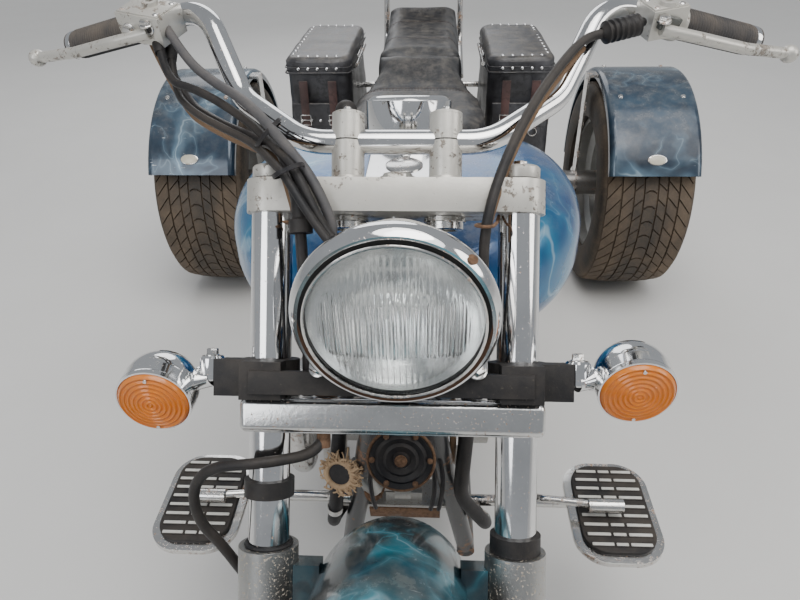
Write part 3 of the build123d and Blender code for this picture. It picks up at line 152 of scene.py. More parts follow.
def rounded(piece: bmesh.types.BMesh, edges: list[Any], offset: float, rows: int = 2, clamp: bool = False) -> None:
    """Bevel edges to a round.

    Args:
        piece: the form.
        edges: its edges to round.
        offset: how far the round reaches.
        rows: the number of faces across it.
        clamp: whether neighbouring rounds stop where they meet.
    """
    bmesh.ops.bevel(piece, geom=edges, offset=offset, segments=rows, profile=0.5, affect="EDGES", material=-1,
                    clamp_overlap=clamp)


class Socket:
    """A value in a material's node tree, with Python's arithmetic."""

    def __init__(self, shader: Shader, link: Any) -> None:
        """Wrap one output socket of a shader."""
        self.shader = shader
        self.link = link

    def _math(self, operation: str, *others: Any) -> Socket:
        """Add one Math node that works on this value and others."""
        return self.shader.node("ShaderNodeMath", {"operation": operation}, dict(enumerate((self, *others))))

    def __add__(self, other: Any) -> Socket:
        """Add."""
        return self._math("ADD", other)

    __radd__ = __add__

    def __mul__(self, other: Any) -> Socket:
        """Multiply."""
        return self._math("MULTIPLY", other)

    __rmul__ = __mul__

    def __sub__(self, other: Any) -> Socket:
        """Subtract a value from this one."""
        return self._math("SUBTRACT", other)

    def __rsub__(self, other: Any) -> Socket:
        """Subtract this value from a number."""
        return self.shader.node("ShaderNodeMath", {"operation": "SUBTRACT"}, {0: other, 1: self})

    def __pow__(self, other: Any) -> Socket:
        """Raise to a power."""
        return self._math("POWER", other)

    def absolute(self) -> Socket:
        """Drop the sign."""
        return self._math("ABSOLUTE")

    def sine(self) -> Socket:
        """Take the sine."""
        return self._math("SINE")

    def least(self, other: Any) -> Socket:
        """Take the lesser of two values."""
        return self._math("MINIMUM", other)

    def most(self, other: Any) -> Socket:
        """Take the greater of two values."""
        return self._math("MAXIMUM", other)

    def band(self, low: float, high: float) -> Socket:
        """Rise smoothly from 0 at low to 1 at high, or fall where low is the greater.

        Args:
            low: where the result is 0.
            high: where the result is 1.

        Returns:
            The new value.
        """
        return self.shader.node(
            "ShaderNodeMapRange",
            {"interpolation_type": "SMOOTHSTEP"},
            {"Value": self, "From Min": low, "From Max": high, "To Min": 0.0, "To Max": 1.0},
        )


class Shader:
    """A node material, built up by short calls."""

    def __init__(self, name: str) -> None:
        """Start an empty material with a Principled shader.

        Args:
            name: the material's name.
        """
        self.material = bpy.data.materials.new(name)
        self.material.use_nodes = True
        self.tree = self.material.node_tree
        self.tree.nodes.clear()
        output = self.tree.nodes.new("ShaderNodeOutputMaterial")
        self.principled = self.tree.nodes.new("ShaderNodeBsdfPrincipled")
        self.tree.links.new(self.principled.outputs[0], output.inputs[0])
        self.place = self.node("ShaderNodeTexCoord", output="Object")

    def node(
        self,
        kind: str,
        settings: dict[str, Any] | None = None,
        values: dict[Any, Any] | None = None,
        output: Any = 0,
    ) -> Socket:
        """Add any node.

        Args:
            kind: the node's type.
            settings: its properties.
            values: its inputs by name or number, each a value or a Socket.
            output: the output to give back, by name or number.

        Returns:
            The chosen output.
        """
        made = self.tree.nodes.new(kind)
        for key, value in (settings or {}).items():
            setattr(made, key, value)
        for key, value in (values or {}).items():
            self._feed(made.inputs[key], value)
        return Socket(self, made.outputs[output])

    def _feed(self, target: Any, value: Any) -> None:
        """Link or set one input.

        Args:
            target: the node's input.
            value: a plain value or a Socket.
        """
        if isinstance(value, Socket):
            self.tree.links.new(value.link, target)
        elif target.type == "RGBA" and len(value) == 3:
            target.default_value = (*value, 1)
        else:
            target.default_value = value

    def set(self, **values: Any) -> None:
        """Feed the Principled shader's inputs; an underscore stands for a space."""
        for key, value in values.items():
            self._feed(self.principled.inputs[key.replace("_", " ")], value)

    def noise(self, scale: float, detail: float, rough: float, place: Socket | None = None) -> Socket:
        """Add a noise texture, on the object's own coordinates or on others."""
        values = {"Vector": place or self.place, "Scale": scale, "Detail": detail, "Roughness": rough}
        return self.node("ShaderNodeTexNoise", None, values)

    def cells(self, scale: float) -> Socket:
        """Add a Voronoi texture's distance."""
        return self.node("ShaderNodeTexVoronoi", None, {"Vector": self.place, "Scale": scale}, "Distance")

    def stretch(self, x: float, y: float, z: float, turn: Point) -> Socket:
        """Scale and turn the object's coordinates."""
        return self.node("ShaderNodeMapping", None, {"Vector": self.place, "Scale": (x, y, z), "Rotation": turn})

    def axis(self, number: int, place: Socket | None = None) -> Socket:
        """Take one coordinate: 0 is X, 1 is Y, 2 is Z."""
        return self.node("ShaderNodeSeparateXYZ", None, {0: place or self.place}, number)

    def mix(self, share: Any, first: Any, second: Any) -> Socket:
        """Mix two colours."""
        return self.node("ShaderNodeMix", {"data_type": "RGBA"}, {"Factor": share, 6: first, 7: second}, 2)

    def upward(self) -> Socket:
        """How far the surface faces up, from -1 to 1."""
        return self.axis(2, self.node("ShaderNodeNewGeometry", output="Normal"))

    def bump(self, height: Socket, distance: float, strength: float) -> None:
        """Raise the surface by a height map."""
        values = {"Height": height, "Distance": distance, "Strength": strength}
        self.set(Normal=self.node("ShaderNodeBump", None, values))


@dataclass(frozen=True)
class Metal:
    """Plated or bare metal with smudges, pits and rust."""

    name: str
    colour: Colour
    rough: float = 0.1
    pits: float = 0.3
    rust: float = 0.0
    grain: float = 0.0
    metallic: float = 1.0
    stain: Colour = (0.16, 0.09, 0.05)

    def shade(self) -> bpy.types.Material:
        """Build the finish's nodes.

        Returns:
            The new material.
        """
        s = Shader(self.name)
        smudge = s.noise(9, 6, 0.6)
        fine = s.noise(160, 5, 0.7)
        speck = s.noise(420, 2, 0.5).band(0.76 - self.pits * 0.22, 0.8 - self.pits * 0.2)
        cloud = s.noise(26, 8, 0.72) + s.noise(210, 4, 0.7) * 0.35
        patch = cloud.band(1.02 - self.rust * 0.62, 1.1 - self.rust * 0.5)
        worn = speck.most(patch)
        tint = s.mix(smudge.band(0.35, 0.75), self.colour, toned(self.colour, 0.78))
        rusty = s.mix(fine.band(0.3, 0.7), self.stain, toned(self.stain, 2.4))
        s.set(
            Base_Color=s.mix(worn, tint, rusty),
            Metallic=(1 - worn) * self.metallic,
            Roughness=smudge * 0.14 + fine * 0.08 + worn * 0.5 + (self.rough - 0.09),
        )
        s.bump(fine * self.grain + smudge * 0.15 - worn * 0.7, 0.0006, 0.35)
        return s.material


@dataclass(frozen=True)
class Paint:
    """Gloss or satin paint with chips down to the primer and dust on top."""

    name: str
    colour: Colour
    under: Colour = (0.08, 0.06, 0.05)
    rough: float = 0.25
    chips: float = 0.3
    dust: float = 0.3
    coat: float = 0.5
    metallic: float = 0.0
    grain: float = 0.2

    def shade(self) -> bpy.types.Material:
        """Build the finish's nodes.

        Returns:
            The new material.
        """
        s = Shader(self.name)
        cloud = s.noise(7, 5, 0.6)
        fine = s.noise(240, 4, 0.6)
        chip = (s.noise(95, 6, 0.75) + s.noise(14, 3, 0.5) * 0.5).band(1.0 - self.chips * 0.3, 1.03 - self.chips * 0.3)
        settled = s.upward().band(0.2, 1.0) * s.noise(34, 6, 0.7).band(0.3, 0.8) * self.dust
        tone = s.mix(cloud.band(0.3, 0.7), self.colour, toned(self.colour, 0.8))
        bare = s.mix(chip, tone, s.mix(fine.band(0.4, 0.6), self.under, toned(self.under, 1.8)))
        s.set(
            Base_Color=s.mix(settled, bare, (0.34, 0.29, 0.23)),
            Metallic=(1 - chip) * self.metallic,
            Roughness=cloud * 0.1 + chip * 0.35 + settled * 0.5 + (self.rough - 0.05),
            Coat_Weight=(1 - chip.most(settled)) * self.coat,
            Coat_Roughness=0.12,
        )
        s.bump(fine * self.grain - chip * 0.8, 0.0005, 0.5)
        return s.material


@dataclass(frozen=True)
class VeinedPaint:
    """Airbrushed paint: clouds of two tones crossed by pale branching veins, scratched and chipped."""

    name: str
    deep: Colour
    cloud: Colour
    vein: Colour
    patch: Colour
    scale: float = 6.0
    spread: float = 0.3
    scratches: float = 0.5
    seed: float = 0.0
    glow: float = 1.0

    def shade(self) -> bpy.types.Material:
        """Build the finish's nodes.

        Returns:
            The new material.
        """
        s = Shader(self.name)
        shift = s.node(
            "ShaderNodeMapping", None, {"Vector": s.place, "Location": (self.seed, self.seed * 0.7, -self.seed)}
        )
        warp = s.node(
            "ShaderNodeVectorMath",
            {"operation": "MULTIPLY_ADD"},
            {0: s.noise(self.scale * 0.9, 3, 0.5, place=shift), 1: (0.16, 0.16, 0.16), 2: shift},
        )
        billow = s.noise(self.scale, 5, 0.55, place=warp)
        ridge = (s.noise(self.scale * 0.62, 2.4, 0.48, place=warp) - 0.5).absolute()
        branch = (s.noise(self.scale * 1.5, 2, 0.5, place=warp) - 0.5).absolute()
        broken = s.noise(self.scale * 0.8, 2, 0.5, place=shift).band(0.42, 0.6)
        line = ridge.band(0.012, 0.0) * broken * 0.35 + branch.band(0.01, 0.0) * broken * 0.15
        halo = (ridge.band(0.1, 0.0) * 0.55 + branch.band(0.07, 0.0) * 0.25) * (broken * 0.8 + 0.2) * self.glow
        zone = s.noise(self.scale * 0.35, 2, 0.5, place=shift).band(0.62 - self.spread, 0.78 - self.spread * 0.6)
        tone = s.mix(billow.band(0.35, 0.7), self.deep, self.cloud)
        tone = s.mix(zone * 0.75, tone, self.patch)
        tone = s.mix(halo.least(1.0), tone, self.vein)
        tone = s.mix(line.least(1.0) * 0.8, tone, (0.62, 0.78, 0.85))
        streak = s.noise(30, 2, 0.5, place=s.stretch(1, 14, 4, (0.3, 0.2, 0.9))).band(0.7, 0.74)
        scuff = streak * s.noise(9, 2, 0.5).band(0.56, 0.66) * self.scratches
        chip = (s.noise(130, 5, 0.7) + s.noise(12, 2, 0.5) * 0.4).band(1.0, 1.03)
        tone = s.mix(scuff, tone, (0.75, 0.78, 0.8))
        dust = s.upward().band(0.3, 1.0) * s.noise(26, 6, 0.7).band(0.35, 0.8) * 0.28
        tone = s.mix(chip, tone, (0.55, 0.55, 0.52))
        s.set(
            Base_Color=s.mix(dust, tone, (0.42, 0.38, 0.32)),
            Metallic=0.25,
            Roughness=billow * 0.08 + scuff * 0.3 + chip * 0.3 + dust * 0.5 + 0.16,
            Coat_Weight=(1 - chip) * 0.4,
            Coat_Roughness=0.08,
            Specular_IOR_Level=0.35,
        )
        s.bump(s.noise(14, 3, 0.5) * 0.4 - chip * 0.5 - scuff * 0.3, 0.0007, 0.4)
        return s.material


@dataclass(frozen=True)
class Rubber:
    """Rubber or plastic, or cloth or rust without shine, greyed and dusty."""

    name: str
    colour: Colour = (0.018, 0.018, 0.019)
    rough: float = 0.55
    dust: float = 0.4
    grain: float = 260.0
    dirt: Colour = (0.2, 0.16, 0.12)

    def shade(self) -> bpy.types.Material:
        """Build the finish's nodes.

        Returns:
            The new material.
        """
        s = Shader(self.name)
        cloud = s.noise(13, 6, 0.65)
        fine = s.noise(self.grain, 5, 0.7)
        lying = (s.upward() * 0.5 + 0.5) * cloud.band(0.32, 0.72) * self.dust
        speck = s.noise(310, 3, 0.6).band(0.63, 0.72) * self.dust
        grey = s.mix(cloud, self.colour, toned(self.colour, 2.2))
        s.set(
            Base_Color=s.mix(lying.most(speck), grey, self.dirt),
            Roughness=fine * 0.2 + lying * 0.3 + (self.rough - 0.1),
            Specular_IOR_Level=0.26,
        )
        s.bump(fine + cloud * 0.3, 0.0006, 0.5)
        return s.material


@dataclass(frozen=True)
class Hide:
    """Vinyl or leather: fine pebbled grain, creases with painted shade in them, worn places lightened by a painted
    sheen, and dust.
    """

    name: str
    colour: Colour = (0.022, 0.022, 0.024)
    # sheen: the colour of the painted sheen that lies on worn places.
    sheen: Colour = (0.075, 0.078, 0.085)
    rough: float = 0.42
    grain: float = 520.0
    crease: float = 0.6
    dust: float = 0.25
    tears: float = 0.0

    def shade(self) -> bpy.types.Material:
        """Build the finish's nodes.

        Returns:
            The new material.
        """
        s = Shader(self.name)
        pebble = s.cells(self.grain)
        fold_and_shade = (s.noise(17, 5, 0.6) - 0.5).absolute()
        wear_and_sheen = s.noise(8, 5, 0.6)
        dusty = s.upward().band(0.1, 1.0) * s.noise(40, 6, 0.7).band(0.35, 0.75) * self.dust
        # Painted sheen: worn patches take the lighter sheen colour; the same mask also roughens them as real wear.
        tone = s.mix(wear_and_sheen.band(0.35, 0.7), self.colour, self.sheen)
        # Painted shade: the colour is darkened to half along the crease lines, which the bump below also presses in.
        tone = s.mix(fold_and_shade.band(0.03, 0.0) * 0.5, tone, toned(self.colour, 0.5))
        tone = s.mix(dusty, tone, (0.26, 0.23, 0.19))
        torn = s.noise(21, 5, 0.7).band(0.93 - self.tears * 0.3, 0.95 - self.tears * 0.3)
        s.set(
            Base_Color=s.mix(torn, tone, (0.42, 0.3, 0.17)),
            Roughness=pebble * 0.1 + wear_and_sheen * 0.16 + dusty * 0.3 + torn * 0.3 + (self.rough - 0.12),
            Specular_IOR_Level=0.45,
        )
        s.bump(pebble * 0.35 + fold_and_shade * self.crease * 6 - torn * 2, 0.0009, 0.5)
        return s.material


@dataclass(frozen=True)
class Glass:
    """Clear or tinted glass or acrylic, dusty outside."""

    name: str
    colour: Colour
    rough: float = 0.05
    through: float = 0.9
    dust: float = 0.15

    def shade(self) -> bpy.types.Material:
        """Build the finish's nodes.

        Returns:
            The new material.
        """
        s = Shader(self.name)
        film = s.noise(30, 6, 0.7).band(0.45, 0.85) * self.dust
        s.set(
            Base_Color=s.mix(film, self.colour, (0.55, 0.5, 0.42)),
            Roughness=film * 0.8 + self.rough,
            Transmission_Weight=self.through,
            IOR=1.49,
        )
        s.bump(s.noise(90, 3, 0.5), 0.0001, 0.2)
        return s.material


@dataclass(frozen=True)
class TyreFinish:
    """Tyre rubber about one axle: dust in the grooves, faint ribs and scuffs on the walls."""

    name: str
    centre: Point
    radius: float
    mud: float = 0.6

    def shade(self) -> bpy.types.Material:
        """Build the finish's nodes.

        Returns:
            The new material.
        """
        s = Shader(self.name)
        y = s.axis(1) - self.centre[1]
        z = s.axis(2) - self.centre[2]
        reach = (y * y + z * z) ** 0.5
        wall = reach.band(self.radius - 0.012, self.radius - 0.03)
        rings = (reach * 900).sine().band(0.2, 0.9) * wall
        cloud = s.noise(11, 7, 0.68)
        fine = s.noise(190, 5, 0.7)
        worn = reach.band(self.radius - 0.006, self.radius - 0.001)
        dirt = (cloud.band(0.3, 0.75) * 0.55 + fine.band(0.4, 0.8) * 0.3 + (1 - worn) * (1 - wall) * 0.35) * self.mud
        tone = s.mix(worn * 0.5, (0.02, 0.019, 0.018), (0.055, 0.05, 0.045))
        s.set(
            Base_Color=s.mix(dirt.least(1.0), tone, (0.17, 0.125, 0.085)),
            Roughness=fine * 0.15 + dirt * 0.2 + 0.55,
            Specular_IOR_Level=0.35,
        )
        s.bump(fine * 0.4 + rings * 0.5 + cloud * 0.4, 0.0008, 0.6)
        return s.material


class Finish(Enum):
    """Every finish on the trike."""

    CHROME = Metal("Chrome", (0.8, 0.8, 0.8), rough=0.07, pits=0.25, rust=0.12)
    OLD_CHROME = Metal("OldChrome", (0.7, 0.69, 0.67), rough=0.16, pits=0.55, rust=0.5, grain=0.5)
    BUFFED = Metal("BuffedAlloy", (0.7, 0.7, 0.69), rough=0.15, pits=0.45, rust=0.1, grain=0.8)
    SILVERED = Metal("SilveredBowl", (0.95, 0.95, 0.94), rough=0.16, pits=0.0, rust=0.0)
    RUSTY = Metal("RustySteel", (0.2, 0.14, 0.1), rough=0.55, pits=0.8, rust=0.9, grain=0.9, metallic=0.5,
                  stain=(0.085, 0.048, 0.028))
    CAST_ALLOY = Paint("CreamAlloy", (0.62, 0.6, 0.55), (0.15, 0.13, 0.11), 0.34, 0.6, 0.35, 0.25, 0.45, 0.5)
    DULL_ALLOY = Metal("DullAlloy", (0.42, 0.42, 0.41), rough=0.38, pits=0.7, rust=0.28, grain=0.8,
                       stain=(0.22, 0.19, 0.15))
    ENGINE_ALLOY = Metal("EngineAlloy", (0.5, 0.49, 0.47), rough=0.4, pits=0.6, rust=0.3, grain=0.9,
                         stain=(0.15, 0.11, 0.08))
    STEEL = Metal("Steel", (0.42, 0.41, 0.4), rough=0.3, pits=0.6, rust=0.45, grain=0.5)
    TANK_PAINT = VeinedPaint("TankPaint", (0.003, 0.01, 0.034), (0.005, 0.032, 0.09), (0.018, 0.2, 0.36),
                             (0.004, 0.095, 0.3), scale=7.0, spread=0.3, scratches=0.2, seed=3.1, glow=1.2)
    FENDER_PAINT = VeinedPaint("FenderPaint", (0.016, 0.026, 0.042), (0.04, 0.066, 0.098), (0.2, 0.32, 0.42),
                               (0.03, 0.06, 0.1), scale=6.5, spread=0.12, scratches=0.9, seed=8.4, glow=0.75)
    DARK_FENDER = VeinedPaint("DarkFender", (0.01, 0.013, 0.017), (0.02, 0.034, 0.042), (0.035, 0.3, 0.4),
                              (0.015, 0.055, 0.075), scale=11.0, spread=0.2, scratches=0.3, seed=1.7, glow=1.1)
    FRAME_PAINT = Paint("FramePaint", (0.016, 0.017, 0.019), (0.15, 0.08, 0.045), 0.32, 0.5, 0.5, 0.3)
    RUBBER = Rubber("BlackRubber", (0.009, 0.009, 0.01), 0.48, 0.22)
    PLASTIC = Rubber("BlackPlastic", (0.01, 0.01, 0.012), 0.34, 0.22, 420.0)
    # Near-black gasket rubber, also standing in as painted shade in the headlamp's gap.
    GAP = Rubber("BlackGasketAndGapShade", (0.004, 0.004, 0.004), 0.7, 0.05)
    RUST_BROWN = Rubber("BrownRust", (0.036, 0.017, 0.009), 0.6, 0.35, 420.0, (0.1, 0.05, 0.025))
    GRIP_RUBBER = Rubber("GripRubber", (0.028, 0.028, 0.03), 0.62, 0.6, 300.0)
    SLEEVE = Rubber("GreySleeve", (0.042, 0.042, 0.045), 0.5, 0.3, 330.0, (0.24, 0.2, 0.16))
    LOOM = Rubber("TanLoom", (0.105, 0.064, 0.038), 0.7, 0.6, 500.0, (0.26, 0.18, 0.11))
    FIBRE = Rubber("TornFibre", (0.3, 0.21, 0.13), 0.85, 0.8, 600.0, (0.46, 0.34, 0.22))
    SEAT_VINYL = Hide("SeatVinyl", (0.015, 0.015, 0.017), (0.034, 0.036, 0.04), 0.4, 620.0, 0.5, 0.35)
    TORN_VINYL = Hide("TornVinyl", (0.02, 0.02, 0.022), (0.07, 0.07, 0.075), 0.45, 620.0, 0.7, 0.35, 0.55)
    BAG_LEATHER = Hide("BagLeather", (0.016, 0.015, 0.016), (0.06, 0.06, 0.066), 0.34, 430.0, 0.9, 0.45)
    STRAP = Hide("StrapLeather", (0.035, 0.02, 0.018), (0.1, 0.05, 0.045), 0.42, 480.0, 0.5, 0.3)
    LAMP_GLASS = Glass("LampGlass", (0.96, 0.98, 0.98), 0.02, 0.97, dust=0.05)
    AMBER = Glass("AmberLens", (0.95, 0.3, 0.03), 0.12, 0.45, dust=0.35)
    RED = Glass("RedLens", (0.6, 0.02, 0.02), 0.1, 0.5, dust=0.35)
    SMOKED = Glass("SmokedCover", (0.16, 0.17, 0.16), 0.12, 0.6, dust=0.4)
    BADGE = Paint("BadgeEnamel", (0.62, 0.58, 0.46), (0.3, 0.27, 0.2), 0.3, 0.3, 0.3, 0.5)
    PALE = Paint("PalePlastic", (0.7, 0.69, 0.64), (0.3, 0.27, 0.22), 0.4, 0.25, 0.4, 0.3)
    FRONT_TYRE = TyreFinish("FrontTyreRubber", FRONT_AXLE, 0.32, 0.6)
    REAR_TYRE = TyreFinish("RearTyreRubber", REAR_AXLE, 0.32, 0.95)

    def material(self) -> bpy.types.Material:
        """Give the finish's material, made at its first use."""
        made = bpy.data.materials.get(self.value.name)
        return made or self.value.shade()


KEPT_NODES = {
    Finish.CAST_ALLOY: ("upper_yoke", "bar_risers", "hand_controls", "hand_levers"),
    Finish.CHROME: ("lower_yoke", "fork_tubes", "headlamp_shell", "handlebar", "front_indicators", "tank_console"),
    Finish.OLD_CHROME: ("air_cleaner", "exhaust", "sissy_bar", "bag_rails", "fender_stays", "shocks", "front_axle",
                        "footboards", "foot_pedals", "tail_lamp", "plate_bracket"),
    Finish.DULL_ALLOY: ("fork_sliders", "front_caliper", "front_wheel", "rear_wheel_left", "rear_wheel_right"),
    Finish.ENGINE_ALLOY: ("engine_case", "cylinders", "engine_fittings"),
    Finish.STEEL: ("rear_axle",),
    Finish.RUSTY: ("reverse_lever",),
    Finish.TANK_PAINT: ("fuel_tank",),
    Finish.FENDER_PAINT: ("rear_fenders", "side_covers"),
    Finish.DARK_FENDER: ("front_fender",),
    Finish.FRAME_PAINT: ("frame_tubes",),
    Finish.RUBBER: ("fork_rings", "frame_hoses", "footboard_pads", "lamp_brackets", "steering_cables"),
    Finish.GRIP_RUBBER: ("grips",),
    Finish.PLASTIC: ("horn",),
    Finish.SEAT_VINYL: ("rider_seat", "pillion_seat", "backrest"),
    Finish.BAG_LEATHER: ("saddlebag_left", "saddlebag_right", "saddlebag_lid_left", "saddlebag_lid_right"),
    Finish.LAMP_GLASS: ("headlamp_lens",),
    Finish.AMBER: ("front_indicator_lenses",),
    Finish.RED: ("tail_lens",),
    Finish.FRONT_TYRE: ("front_tyre",),
    Finish.REAR_TYRE: ("rear_tyre_left", "rear_tyre_right"),
}


@dataclass(frozen=True)
class RakedFrame:
    """The fork's own frame: x to the rider's left, y behind, z up along the legs."""

    axle: Point = FRONT_AXLE
    rake: float = radians(34)

    @property
    def behind(self) -> Vector:
        """The direction square to the legs, to the rear."""
        return Vector((0, cos(self.rake), -sin(self.rake)))

    @property
    def along(self) -> Vector:
        """The direction up the legs."""
        return Vector((0, sin(self.rake), cos(self.rake)))

    def at(self, x: float, y: float, z: float) -> Vector:
        """Give a point's place in the scene."""
        return Vector(self.axle) + Vector((x, 0, 0)) + self.behind * y + self.along * z

    def way(self, x: float, y: float, z: float) -> Vector:
        """Give a direction in the scene."""
        return Vector((x, 0, 0)) + self.behind * y + self.along * z

    def frame(self, x: float, y: float, z: float) -> Matrix:
        """Give the frame at a point, with Z up along the legs."""
        return pose(self.at(x, y, z), self.along)


FORK = RakedFrame()


def pose(spot: Iterable[float], axis: Iterable[float] = (0, 0, 1), about: Iterable[float] | None = None) -> Matrix:
    """Give a matrix that takes Z to an axis and the origin to a spot.

    Args:
        spot: where the origin goes.
        axis: where Z goes.
        about: where X roughly goes.

    Returns:
        The matrix.
    """
    along = Vector(axis).normalized()
    guide = Vector(about) if about is not None else Vector((1, 0, 0))
    if abs(along.dot(guide.normalized())) > 0.99:
        guide = Vector((0, 1, 0)) if abs(along.y) < 0.9 else Vector((0, 0, 1))
    side = (guide - along * along.dot(guide)).normalized()
    turn = Matrix((side, along.cross(side), along)).transposed().to_4x4()
    return Matrix.Translation(Vector(spot)) @ turn


class Form:
    """A mesh that grows by small modelled forms."""

    def __init__(self) -> None:
        """Start empty."""
        self.whole = bmesh.new()

    def join(self, piece: bmesh.types.BMesh, matrix: Matrix | None = None, clean: bool = True) -> Form:
        """Close, place and take in one form, and free it.

        Args:
            piece: the form to take in.
            matrix: where it goes, if it has to move.
            clean: whether to merge its points and turn its faces outward.

        Returns:
            This form, grown.
        """
        if clean:
            bmesh.ops.remove_doubles(piece, verts=piece.verts[:], dist=1e-6)
            bmesh.ops.recalc_face_normals(piece, faces=piece.faces[:])
        if matrix is not None:
            bmesh.ops.transform(piece, matrix=matrix, verts=piece.verts[:])
        passing = bpy.data.meshes.new("passing")
        piece.to_mesh(passing)
        piece.free()
        self.whole.from_mesh(passing)
        bpy.data.meshes.remove(passing)
        return self

    def lathe(self, profile: Outline, matrix: Matrix, steps: int = 40) -> Form:
        """Spin a profile of (radius, height) pairs about Z.

        Args:
            profile: the outline to spin.
            matrix: where it goes, with Z along its axis.
            steps: the number of faces round it.

        Returns:
            This form, grown.
        """
        piece = bmesh.new()
        points = [piece.verts.new((radius, 0, height)) for radius, height in profile]
        lines = [piece.edges.new(pair) for pair in zip(points, points[1:])]
        bmesh.ops.spin(piece, geom=points + lines, cent=(0, 0, 0), axis=(0, 0, 1), angle=tau, steps=steps,
                       use_merge=True)
        return self.join(piece, matrix)

    def block(self, size: Point, matrix: Matrix, edge: float = 0.0015, rows: int = 2) -> Form:
        """Add a block with rounded edges.

        Args:
            size: its length along X, Y and Z.
            matrix: where its middle goes.
            edge: how far the round reaches.
            rows: the number of faces across the round.

        Returns:
            This form, grown.
        """
        piece = bmesh.new()
        bmesh.ops.create_cube(piece, size=1.0)
        bmesh.ops.scale(piece, vec=size, verts=piece.verts[:])
        rounded(piece, piece.edges[:], edge, rows)
        return self.join(piece, matrix)

    def plate(self, outline: Outline, thick: float, matrix: Matrix, edge: float = 0.0008) -> Form:
        """Raise an outline in XY to a plate with softened edges.

        Args:
            outline: the plate's corners.
            thick: its thickness, up from the outline.
            matrix: where the outline's plane goes.
            edge: how far the round reaches.

        Returns:
            This form, grown.
        """
        piece = bmesh.new()
        face = piece.faces.new([piece.verts.new((x, y, 0)) for x, y in outline])
        raised = bmesh.ops.extrude_face_region(piece, geom=[face])
        top = [item for item in raised["geom"] if isinstance(item, bmesh.types.BMVert)]
        bmesh.ops.translate(piece, vec=(0, 0, thick), verts=top)
        rounded(piece, piece.edges[:], edge)
        return self.join(piece, matrix)

    def bolt(self, matrix: Matrix, size: float = 0.012, high: float = 0.006, sides: int = 6) -> Form:
        """Add a bolt or screw head: a washer under a chamfered head, six-sided or round.

        Args:
            matrix: where it goes, with Z along its axis.
            size: the width across the washer's middle.
            high: the head's height.
            sides: how many sides the head has.

        Returns:
            This form, grown.
        """
        self.lathe([(0, -0.001), (size * 0.66, -0.001), (size * 0.66, 0.0008), (size * 0.6, 0.0014), (0, 0.0014)],
                   matrix, 20)
        piece = bmesh.new()
        bmesh.ops.create_cone(piece, cap_ends=True, segments=sides, radius1=size * 0.54, radius2=size * 0.54,
                              depth=high)
        bmesh.ops.translate(piece, vec=(0, 0, high / 2 + 0.0012), verts=piece.verts[:])
        rim = [e for e in piece.edges if all(v.co.z > high * 0.9 for v in e.verts)]
        rounded(piece, rim, size * 0.07)
        return self.join(piece, matrix)

    def socket_bolt(self, matrix: Matrix, size: float = 0.011, high: float = 0.008) -> Form:
        """Add a round socket-head bolt with its hexagonal hole.

        Args:
            matrix: where it goes, with Z along its axis.
            size: the head's diameter.
            high: the head's height.

        Returns:
            This form, grown.
        """
        piece = bmesh.new()
        bmesh.ops.create_cone(piece, cap_ends=True, segments=24, radius1=size / 2, radius2=size / 2, depth=high)
        bmesh.ops.translate(piece, vec=(0, 0, high / 2), verts=piece.verts[:])
        top = max(piece.faces, key=lambda f: f.calc_center_median().z)
        bmesh.ops.inset_region(piece, faces=[top], thickness=size * 0.06, depth=0.0006)
        bmesh.ops.inset_region(piece, faces=[top], thickness=size * 0.17, depth=0)
        bmesh.ops.inset_region(piece, faces=[top], thickness=0.0002, depth=-high * 0.5)
        return self.join(piece, matrix)

    def tube(self, points: Sequence[Vector], radius: float, sides: int = 12, fine: int = 6) -> Form:
        """Sweep a round tube along the smooth line that these points steer.

        Args:
            points: the points that steer the line.
            radius: the tube's radius.
            sides: the number of faces round it.
            fine: the steps between two points.

        Returns:
            This form, grown.
        """
        line = bpy.data.curves.new("line", "CURVE")
        line.dimensions = "3D"
        line.bevel_depth = radius
        line.bevel_resolution = max(1, sides // 4 - 1)
        line.resolution_u = fine
        line.use_fill_caps = True
        spline = line.splines.new("NURBS")
        spline.points.add(len(points) - 1)
        for knot, point in zip(spline.points, points):
            knot.co = (*point, 1)
        spline.order_u = 3
        spline.use_endpoint_u = True
        holder = bpy.data.objects.new("line", line)
        mesh = bpy.data.meshes.new_from_object(holder)
        self.whole.from_mesh(mesh)
        for waste, store in ((holder, bpy.data.objects), (mesh, bpy.data.meshes), (line, bpy.data.curves)):
            store.remove(waste)
        return self

    def ring(self, matrix: Matrix, big: float, small: float, steps: int = 32, sides: int = 10) -> Form:
        """Add a torus about Z.

        Args:
            matrix: where it goes, with Z along its axis.
            big: the radius of its middle line.
            small: the radius of its section.
            steps: the number of faces round it.
            sides: the number of faces round its section.

        Returns:
            This form, grown.
        """
        around = [(big + small * cos(tau * k / sides), small * sin(tau * k / sides))
                  for k in range(sides + 1)]
        return self.lathe(around, matrix, steps)

    def ball(self, matrix: Matrix, radius: float, steps: int = 24) -> Form:
        """Add a round ball or dome.

        Args:
            matrix: where it goes, with Z along its axis.
            radius: its radius.
            steps: the number of faces round it.

        Returns:
            This form, grown.
        """
        piece = bmesh.new()
        bmesh.ops.create_uvsphere(piece, u_segments=steps, v_segments=steps // 2, radius=radius)
        return self.join(piece, matrix)

    def done(self, name: str, body: str, finish: Finish, *stands_for: str, smooth: float = 35) -> bpy.types.Object:
        """Make the object.

        Args:
            name: the piece's name.
            body: the CAD body that it rides on.
            finish: what it is made of.
            stands_for: the CAD nodes that it replaces.
            smooth: the angle in degrees under which faces blend.

        Returns:
            The new piece.
        """
        return settle(meshed(self.whole, name), name, body, finish, *stands_for, smooth=smooth)


